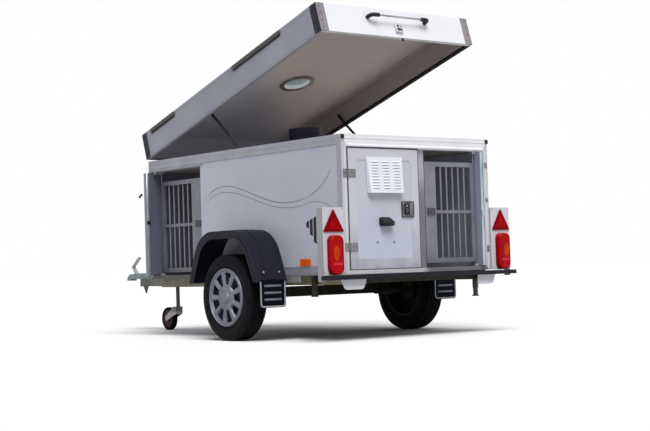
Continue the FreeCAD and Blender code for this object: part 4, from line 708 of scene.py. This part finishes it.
def tail_lamp():
    """A rounded lamp: a wall of rounded outlines and a gently domed, ribbed face."""
    place = rear_face(BOARD_REAR)
    y0, y1 = LAMP_Y - LAMP_HALF_WIDTH, LAMP_Y + LAMP_HALF_WIDTH
    rings = []
    for depth, inset in ((0, 0), (6, 0), (7, 1.2), (9, 1.2), (10, 0), (30, 0), (36, 1.4),
                         (40.5, 4.6), (43, 9), (43.6, LAMP_EDGE)):
        outline = rounded(y0 + inset, y1 - inset, LAMP_LOW + inset, LAMP_HIGH - inset, 37.5 - inset, 8)
        rings.append([place(a, b, depth) for a, b in outline])
    count = len(rings[0])
    wall = [DARK_RIM] * (5 * count) + [RED] * (4 * count)
    # A pale patch on top of the lamp's wall, in the pale band's paint: a painted highlight
    for strip in (4, 5):
        wall[strip * count + 5:strip * count + 13] = [PALE_BAND_AND_HIGHLIGHT] * 8
    bundle = Bundle()
    bundle.add([p for ring in rings for p in ring], strip_faces(len(rings), count, True), wall)

    columns, rows, corner = 34, 96, 25
    y0, y1 = y0 + LAMP_EDGE, y1 - LAMP_EDGE
    z0, z1 = LAMP_LOW + LAMP_EDGE, LAMP_HIGH - LAMP_EDGE
    grid = [(y0 + (y1 - y0) * i / columns, z0 + (z1 - z0) * j / rows)
            for j in range(rows + 1) for i in range(columns + 1)]
    points = []
    for a, b in grid:
        near_a = min(max(a, y0 + corner), y1 - corner)
        near_b = min(max(b, z0 + corner), z1 - corner)
        share = min(corner / max(math.hypot(a - near_a, b - near_b), 0.001), 1)
        a, b = near_a + (a - near_a) * share, near_b + (b - near_b) * share
        ridge = 0.25 * (1 + math.cos(2 * math.pi * (b - z0) / 6.2)) / 2
        points.append(place(a, b, 43.4 + (ridge if lamp_zone(a, b) == RED else 0.1)))
    faces = strip_faces(rows + 1, columns + 1, False)
    bundle.add(points, faces, [lamp_zone(sum(grid[i][0] for i in face) / 4, sum(grid[i][1] for i in face) / 4)
                               for face in faces])
    return bundle


tail_lamp().both().make("lamp_lenses", "trailer", "red_lens amber_lens clear_lens red_lens_edge",
                        "red_lens", 35, "tail_lamps")

triangles = Bundle()
for inset, depth, number in ((0, 0.4, 1), (10, 0.8, 0)):
    half = TRIANGLE_HALF - inset * ROOT_3
    low = TRIANGLE_LOW + inset
    tri = [(LAMP_Y - half, low), (LAMP_Y + half, low), (LAMP_Y, low + half * ROOT_3)]
    triangles.add([rear_face(-16.1)(a, b, depth) for a, b in tri], [(0, 1, 2)], number)
triangles.both().make("triangle_faces", "trailer", "red_reflector red_border", "red_lens")


# Fittings on the rear

trim = Bundle()
side_trim = Bundle()
steel = Bundle()
back = rear_face(0)

lip = [(1188, 0), (1188, 7), (1190, 9), (1197, 9), (1204, 3), (1206, 0)]
bar_along(trim, lip, -568, 568, back)
bar_along(trim, [(1236, 0), (1236, 2), (1239, 3), (1242, 2), (1242, 0)], -606, 606, back)
for y in (-590, 590):
    edge = [(y - 2.5, 0), (y - 2.5, 1.6), (y + 2.5, 1.6), (y + 2.5, 0)]
    trim.add([back(a, z, depth) for z in (412, 1180) for a, depth in edge], strip_faces(2, len(edge), True))
for section, start, end in (
        ([(1203, 0), (1203, 2.2), (1206, 3.4), (1209, 2.2), (1209, 0)], RAIL_REAR, RAIL_FRONT),
        ([(1236, 0), (1236, 1.6), (1241, 1.6), (1241, 0)], RAIL_REAR, RAIL_FRONT),
        ([(1190, -1), (1190, 5), (1198, 5), (1200, 0)], 1540, RAIL_FRONT),
        ([(459, 0), (459, 1.6), (463, 1.6), (463, 0)], RAIL_REAR, OPENING_REAR),
        ([(414, 0), (414, 2), (419, 2), (419, 0)], RAIL_REAR, OPENING_REAR)):
    bar_along(side_trim, section, start, end, left_face(HALF_WIDTH))
side_both = side_trim.both()
trim.add(side_both.points, side_both.faces, 1)
trim.make("rail_ribs", "trailer", "profile_rear profile", "aluminium_profile", 30)

# Hinge screws, post catches, latch, plate grommets
for z in (1025, 574):
    for y in (528, 552, 594):
        for dz in (-14, 14):
            screw(steel, y, z + dz, back, 4, 5, 2, 1)
for y, z in ((58, 842), (134, 842), (58, 766), (134, 766)):
    screw(steel, y, z, back, 6, 5.5, 2, 1)
frame_ring(steel, rounded(46.5, 145.5, 754.5, 853.5, 6), rounded(50, 142, 758, 850, 4), back, 5.8, 6.6, 5)
raised(steel, rounded(92, 126, 772, 840, 5), back, 5.8, 6.8, 1, 1)
raised(steel, rounded(58, 84, 768, 840, 4), back, 5.8, 9, 2, 4)
raised(steel, rounded(100, 116, 780, 812, 4), back, 6.8, 11, 2, 2)
raised(steel, circle(108, 826, 6.5), back, 6.8, 9, 1)
for y in (213, 347):
    frame_ring(steel, circle(y, 600, 7), circle(y, 600, 2.6), rear_face(3), 0, 2, 3)
for z, tall in ((1092, 34), (866, 26), (548, 40)):
    raised(steel, rounded(-601, -585, z - tall / 2, z + tall / 2, 3), back, 0, 6, 1.5, 4)
    screw(steel, -593, z, back, 6, 4, 2, 1)
for y in (628, 776, -776, -628):
    for z in (422, 806):
        screw(steel, y, z, rear_face(BOARD_REAR), 0, 4.5, 2, 1)
for y in (-606, -498, 498, 606):
    screw(steel, y, 382, rear_face(-6), 0, 5, 2.5, 1)
steel.make("rear_screws", "trailer",
           "zinc_plate dark_gap latch_grey grommet hinge_grey gap_grey", "zinc_plate", 40)

# Dark seals round the closed door, widened at its top and on the post beside it into painted shade, and
# bright edges on the open doors, which are painted highlights
gaps = Bundle()
frame_ring(gaps, rounded(-4, 576, 434, 1187, 2, 1), rounded(0.5, 566, 438.5, 1178.5, 1, 1), back, 0.1, 0.7)
for y0, y1 in ((609, 615), (-615, -609)):
    raised(gaps, rounded(y0, y1, 412, 816, 1, 1), back, 0.1, 0.6, 0.2, 1)
gaps.make("door_gap_seals_and_shade", "trailer", "gap_grey edge_grey", "seal_rubber")

edges = Bundle()
door_rear = rear_face(SIDE_DOOR_REAR)
raised(edges, rounded(651, 667, SIDE_DOOR_LOW, SIDE_DOOR_HIGH, 2, 2), door_rear, 0, 2, 1)
nose = [(2197, 655), (2197, 670), (2199, 675), (2203, 677), (2213, 677), (2216, 674), (2216, 655)]
bar_along(edges, nose, SIDE_DOOR_LOW, SIDE_DOOR_HIGH, lambda z, x, y: at(x, y, z), 1)
raised(edges, rounded(640, 668, 806, 830, 3, 2), door_rear, 1.4, 6, 1, 2)
tube(edges, [at(2214, 650, 1012), at(2262, 650, 1014), at(2296, 650, 1018)], 0.003, 8, 3)
tube(edges, [at(2290, 650, 1028), at(2306, 650, 1020), at(2324, 650, 1008)], 0.0075, 10, 2)
edges.both().make("side_door_edges", "trailer", "door_edge edge_grey dark_gap bright_metal", "door_skin", 40)


# Latches of the barred doors

def grid_latch(name, body, a0, place):
    """A box latch with a dark outline, a keyway and two rivets."""
    box = Bundle()
    a1, b0, b1 = a0 + 62, 767, 813
    frame_ring(box, rounded(a0, a1, b0, b1, 5), rounded(a0 + 6, a1 - 6, b0 + 6, b1 - 6, 4), place, 0, 1.2, 2)
    raised(box, rounded(a0 + 7, a1 - 7, b0 + 7, b1 - 7, 4), place, 0, 0.6, 0.5)
    raised(box, rounded(a0 + 22, a0 + 40, b0 + 12, b1 - 12, 4), place, 0.6, 2.2, 1, 2)
    raised(box, rounded(a0 + 27, a0 + 35, b0 + 15, b1 - 15, 3), place, 2.2, 3.4, 1)
    for a in (a0 + 12, a1 - 12):
        screw(box, a, (b0 + b1) / 2, place, 0, 4, 1.8, 1)
    box.make(name, body, "latch_grey dark_gap gap_grey", "zinc_plate", 40)


grid_latch("latch_rear", "inner_door_rear", -153, rear_face(17))
grid_latch("latch_left", "inner_door_left", 1651.5, left_face(567))
grid_latch("latch_right", "inner_door_right", 1651.5, lambda a, b, depth: left_face(-567)(a, b, -depth))

# Folded outer edges of the lamp boards, and the bar's plates with rounded corners
flanges = Bundle()
raised(flanges, rounded(-7, 48, 368, 815, 9, 5), left_face(781), 0, 2, 0.4)
raised(flanges, rounded(760, 782, 368, 404, 8, 4), rear_face(-2), 0, 2, 0.4)
flanges.both().make("board_flanges", "trailer", "board_side", "white_plastic", 35)

# Pale plates on the chassis rails beside the mudguards
rail = Bundle()
raised(rail, rounded(516, 700, 366, 408, 5, 3), left_face(561), 0.1, 3, 1)
rail.both().make("rail_plates", "trailer", "rail_plate", "galvanised", 30)


def plate_outline(top_half, low_half, top, low, radius):
    """A plate narrower at its lower edge, with rounded lower corners."""
    corner = []
    for i in range(6):
        angle = math.pi / 2 * i / 5
        corner.append((low_half - radius + radius * math.cos(angle), low + radius - radius * math.sin(angle)))
    return [(top_half, top), (-top_half, top)] + [(-a, b) for a, b in corner] + corner[::-1]


plates = Bundle()
for centre, cut in ((548, 660), (-548, -487)):
    outline = [(min(centre + a, cut), b) for a, b in plate_outline(111.5, 84, 404, 317.5, 30)]
    raised(plates, outline, rear_face(-1), 0, 5, 3)
plates.make("bar_plates", "trailer", "white_plastic", "white_plastic", 30, "bar_brackets")

# The plate lamp with its rounded edges
LAMP_FOOT, LAMP_MIDDLE = 3, 724
lamp_body = Bundle()
section = [(3, 700), (-34, 700), (-42, 702.5), (-46, 708), (-46, 719), (-43, 727),
           (-36, 733), (-20, 742.5), (-6, 751), (3, 756)]
rows = []
for y, share in ((236, 0.7), (237.5, 0.84), (241, 0.93), (247, 1), (319, 1), (325, 0.93),
                 (328.5, 0.84), (330, 0.7)):
    rows += [at(LAMP_FOOT + (x - LAMP_FOOT) * share, y, LAMP_MIDDLE + (z - LAMP_MIDDLE) * share)
             for x, z in section]
lamp_body.add(rows, capped(8, len(section), True))
raised(lamp_body, rounded(243, 262, 706, 719, 3), back, 45.8, 47, 0.8, 1)
lamp_body.make("plate_lamp_body", "trailer", "black_plastic gap_grey", "black_plastic", 50, "plate_lamp")

# Louvre hoods of the vent cover
COVER_Y, COVER_LOW, COVER_TALL = 286, 904, 221
LOUVRE_PITCH, LOUVRE_ROWS, LOUVRE_HALF = 18, 10, 31
hoods = Bundle()
for column in (-1, 0, 1):
    y = COVER_Y + 86 * column
    for j in range(LOUVRE_ROWS):
        z = COVER_LOW + (COVER_TALL - (LOUVRE_ROWS - 1) * LOUVRE_PITCH) / 2 + LOUVRE_PITCH * j
        face = 36 - 20 * (z - COVER_LOW) / COVER_TALL
        rows = []
        for k in range(13):
            a = y - LOUVRE_HALF + 2 * LOUVRE_HALF * k / 12
            bulge = math.sin(math.pi * k / 12) ** 0.35 if 0 < k < 12 else 0
            rows += [back(a, z + up, face + out) for out, up in (
                (-0.6, 7), (1.5 * bulge, 5.4), (5.2 * bulge, -0.6), (4.4 * bulge, -1.8), (-0.8, 1))]
        hoods.add(rows, strip_faces(13, 5, False))
hoods.make("louvre_hoods", "trailer", "white_plastic", "white_plastic", 35)


# The side: line design and black accent

def ribbon(bundle, curve, width, place, depth, steps=60):
    """A flat line of the given width along a curve, thinner towards its ends."""
    rows = []
    for i in range(steps + 1):
        t = i / steps
        a, b = curve(t)
        a1, b1 = curve(min(t + 0.005, 1))
        a0, b0 = curve(max(t - 0.005, 0))
        length = math.hypot(a1 - a0, b1 - b0)
        na, nb = -(b1 - b0) / length, (a1 - a0) / length
        half = width / 2 * min(1, 0.35 + 8 * min(t, 1 - t))
        rows += [place(a + na * half, b + nb * half, depth), place(a - na * half, b - nb * half, depth)]
    bundle.add(rows, strip_faces(steps + 1, 2, False))


def bend(points):
    """A smooth curve through four control points."""
    def at_share(t):
        s = 1 - t
        weights = (s * s * s, 3 * s * s * t, 3 * s * t * t, t * t * t)
        return [sum(w * p[axis] for w, p in zip(weights, points)) for axis in (0, 1)]
    return at_share


art = Bundle()
panel = left_face(SIDE_SKIN)
for drop, width in ((0, 4.5), (34, 3.5)):
    ribbon(art, bend([(1500, 955 - drop), (1150, 1180 - drop * 1.6), (820, 760 - drop * 0.4),
                      (330, 905 - drop * 1.2)]), width, panel, 0.4)
ribbon(art, bend([(330, 905), (230, 940), (150, 985), (110, 1060)]), 4, panel, 0.4)
ribbon(art, bend([(330, 864), (250, 870), (170, 860), (110, 820)]), 3, panel, 0.4)
for i in range(3):
    x = 372 - i * 37
    low, high = 700 - i * 48, 752 + i * 12
    art.add([panel(x, low + 12, 0.45), panel(x - 29, low, 0.45), panel(x - 29, high, 0.45),
             panel(x, high - 12, 0.45)], [(0, 1, 2, 3)], 1)
art.both().make("side_lines", "trailer", "line_vinyl black_vinyl", "black_plastic")

# Mudguards and flaps
guard = Bundle()
for y in (672, 795):
    screw(guard, y, 438, rear_face(591), 0, 7, 3.5, 1)
guard.both().make("guard_screws", "trailer", "zinc_plate dark_gap", "zinc_plate", 40)

flaps = Bundle()
flap = rear_face(580)


def flap_outline(inset):
    """The flap's outline without its upper edge and corners, open at the top."""
    outline = rounded(634 + inset, 836 - inset, 214 + inset, 386 - inset, 24 - inset * 0.8, 6)
    top = max(b for a, b in outline)
    kept = outline[len(outline) // 2:]
    return [(kept[0][0], top)] + kept + [(kept[-1][0], top)]


frame_ring(flaps, flap_outline(3), flap_outline(12), flap, 0, 1.6, closed=False)
for z in (352, 308, 266):
    raised(flaps, rounded(668, 802, z - 6.5, z + 6.5, 3, 2), flap, 0, 1.2, 1, 1)
flaps.both().make("flap_borders", "trailer", "pale_rubber grommet", "flap_rubber", 35)

# Lid: ribs on its sides, rivets in the corner strips, and the strips' pale sheets
ribs = Bundle()
for low in (14, 172):
    section = [(low, 0), (low + 0.8, 1.4), (low + 3.2, 1.4), (low + 4, 0)]
    for side in (1, -1):
        bar_along(ribs, section, 48, 2149, lid_side(side))
ribs.make("lid_ribs", "lid", "lid_skin", "lid_skin", 30)

rivets = Bundle()
for height_up in (24, 70, 121, 168):
    for along in (24, 2173):
        for side in (-1, 1):
            screw(rivets, along, height_up, lid_side(side), 0, 4.2, 1.6)
    for y in (-615, 615):
        screw(rivets, y, height_up, lid_rear, 0, 4.2, 1.6)
for y in (-226, -256, 226, 256):
    screw(rivets, y, 122, lid_rear, 12, 3.6, 1.4)
for side in (-1, 1):
    y0, y1 = sorted((side * 576, side * 591))
    raised(rivets, rounded(y0, y1, 1, 190, 1, 2), lid_rear, 0.1, 1.2, 0.4, 1)
    for along in (47, 2132):
        raised(rivets, rounded(along, along + 18, 1, 190, 1, 2), lid_side(side), 0.1, 1.2, 0.4)
rivets.make("lid_rivets", "lid", "corner_plastic corner_strip", "corner_plastic", 40)

# Edge trim on the right wall, and beads in the lining's long corners
BEAD_FRONT, BEAD_REAR = 30, 2168
beads = Bundle()
raised(beads, rounded(BEAD_FRONT, BEAD_REAR, 0.5, 15, 2, 2), lid_within(-1), 0, 2.5, 0.5)
for side in (-1, 1):
    bar_along(beads, [(590, 0), (590, 1.5), (608, 1.5), (610, 0)], BEAD_FRONT, BEAD_REAR,
              lambda along, y, depth, s=side: on_lid(along, LINING_UP - depth, s * y), 1)
    bar_along(beads, [(143, 0), (143, 1.5), (161, 1.5), (163, 0)], BEAD_FRONT, BEAD_REAR, lid_within(side), 2)
beads.make("lining_beads", "lid", "seal_rubber lid_lining lid_wall", "lid_skin", 30)

# The roof vent's inner wall, pale and glowing on the far side as painted light and in the ring's dark paint
# on the near side, and the pale cap above it with a faint painted glow
VENT_ALONG, VENT_STEPS = 1090, 48
PAINTED_LIGHT_SIDE = math.radians(218)
dome = Bundle()
turns = [2 * math.pi * i / VENT_STEPS for i in range(VENT_STEPS)]
rows = []
for radius, up in ((91.6, 161.5), (91.4, 187), (86, 189), (60, 191), (34, 192), (2, 192.5)):
    rows += [on_lid(VENT_ALONG + radius * math.cos(turn), up, radius * math.sin(turn)) for turn in turns]
wall = [1 if math.cos(turn + math.pi / VENT_STEPS - PAINTED_LIGHT_SIDE) > 0.1 else 2 for turn in turns]
dome.add(rows, strip_faces(6, VENT_STEPS, True), wall + [0] * (4 * VENT_STEPS))
dome.make("vent_dome", "lid", "vent_glass vent_wall vent_ring", "white_plastic", 40)

# Gauze behind the slots under the side hoods
gauze = Bundle()
for start, length in ((135, 330), (1240, 560)):
    raised(gauze, rounded(start - 8, start + length + 8, 141, 163, 3, 2), lid_within(1), 0.1, 1.6, 0.5)
gauze.both().make("hood_gauze", "lid", "lid_wall", "black_plastic")

lock = Bundle()
frame_ring(lock, rounded(-29, 29, 34, 90, 8), rounded(-19, 19, 43, 81, 5), lid_rear, 14, 17)
raised(lock, rounded(-18.5, 18.5, 43.5, 80.5, 5), lid_rear, 14, 15.2, 1, 1)
raised(lock, circle(0, 62, 13, 20), lid_rear, 28, 30, 2)
raised(lock, rounded(-2, 2, 53, 71, 1.5, 2), lid_rear, 30, 30.4, 0.5, 1)
lock.make("lock_frame", "lid", "bright_metal dark_gap", "bright_metal", 35)

knob = Bundle()
raised(knob, circle(-30, 2, 7), lambda a, b, d: on_lid(2185 + b, -d, a), 0, 16, 2)
knob.make("lock_knob", "lid", "black_plastic", "black_plastic", 40)


# Camera, floor and light

def camera():
    (cos_y, sin_y), (cos_p, sin_p), (cos_r, sin_r) = [
        (math.cos(angle), math.sin(angle)) for angle in (CAMERA_YAW, CAMERA_PITCH, CAMERA_ROLL)]
    forward = Vector((cos_y * cos_p, sin_y * cos_p, sin_p))
    level = Vector((sin_y, -cos_y, 0))
    upright = level.cross(forward)
    right = level * cos_r + upright * sin_r
    up = upright * cos_r - level * sin_r
    data = bpy.data.cameras.new("camera")
    data.lens = CAMERA_FOCAL
    data.sensor_width = 36
    data.clip_start, data.clip_end = 0.1, 500
    made = linked("camera", data)
    turn = Matrix((right, up, -forward)).transposed()
    made.matrix_world = Matrix.Translation(CAMERA_AT) @ turn.to_4x4()
    SCENE.camera = made


def seen_directly(tree):
    """1 for rays from the camera, and for those that show the studio in metal or glass."""
    path = new_node(tree, "LightPath").outputs
    share = path["Is Camera Ray"]
    for output in ("Is Glossy Ray", "Is Transmission Ray"):
        share = calculate(tree, "Math", "MAXIMUM", share, path[output])
    return share


def floor():
    mesh = bpy.data.meshes.new("studio_floor")
    reach = 160
    mesh.from_pydata([(i * reach, j * reach, 0) for i, j in SQUARE], [], [(0, 1, 2, 3)])
    paper = bpy.data.materials.new("studio_paper")
    paper.use_nodes = True
    tree = paper.node_tree
    tone = mix_colour(tree, seen_directly(tree), (0.58, 0.58, 0.58), (1, 1, 1))
    feed(tree, tree.nodes["Principled BSDF"],
         {"Base Color": tone, "Roughness": 1, "Specular IOR Level": 0})
    mesh.materials.append(paper)
    linked("studio_floor", mesh)


def world():
    sky = bpy.data.worlds.new("studio")
    SCENE.world = sky
    sky.use_nodes = True
    tree = sky.node_tree
    tree.nodes.clear()
    lit = new_node(tree, "Background", {"Color": (0.93, 0.95, 1, 1), "Strength": 0.32})
    seen = new_node(tree, "Background", {"Color": (1, 1, 1, 1), "Strength": 1})
    either = new_node(tree, "MixShader", {0: seen_directly(tree), 1: lit.outputs[0], 2: seen.outputs[0]})
    new_node(tree, "OutputWorld", {"Surface": either.outputs[0]})


def sun(name, place, strength, spread_angle, colour):
    """A soft light aimed at the origin."""
    data = bpy.data.lights.new(name, "SUN")
    data.energy = strength
    data.color = colour
    data.angle = spread_angle
    made = linked(name, data)
    made.location = place
    made.rotation_mode = "QUATERNION"
    made.rotation_quaternion = (-Vector(place)).to_track_quat("-Z", "Y")


camera()
floor()
world()
sun("key", (-6.5, 3.2, 9.5), 2.95, math.radians(35), (1, 0.99, 0.97))

SCENE.view_settings.view_transform = "Standard"
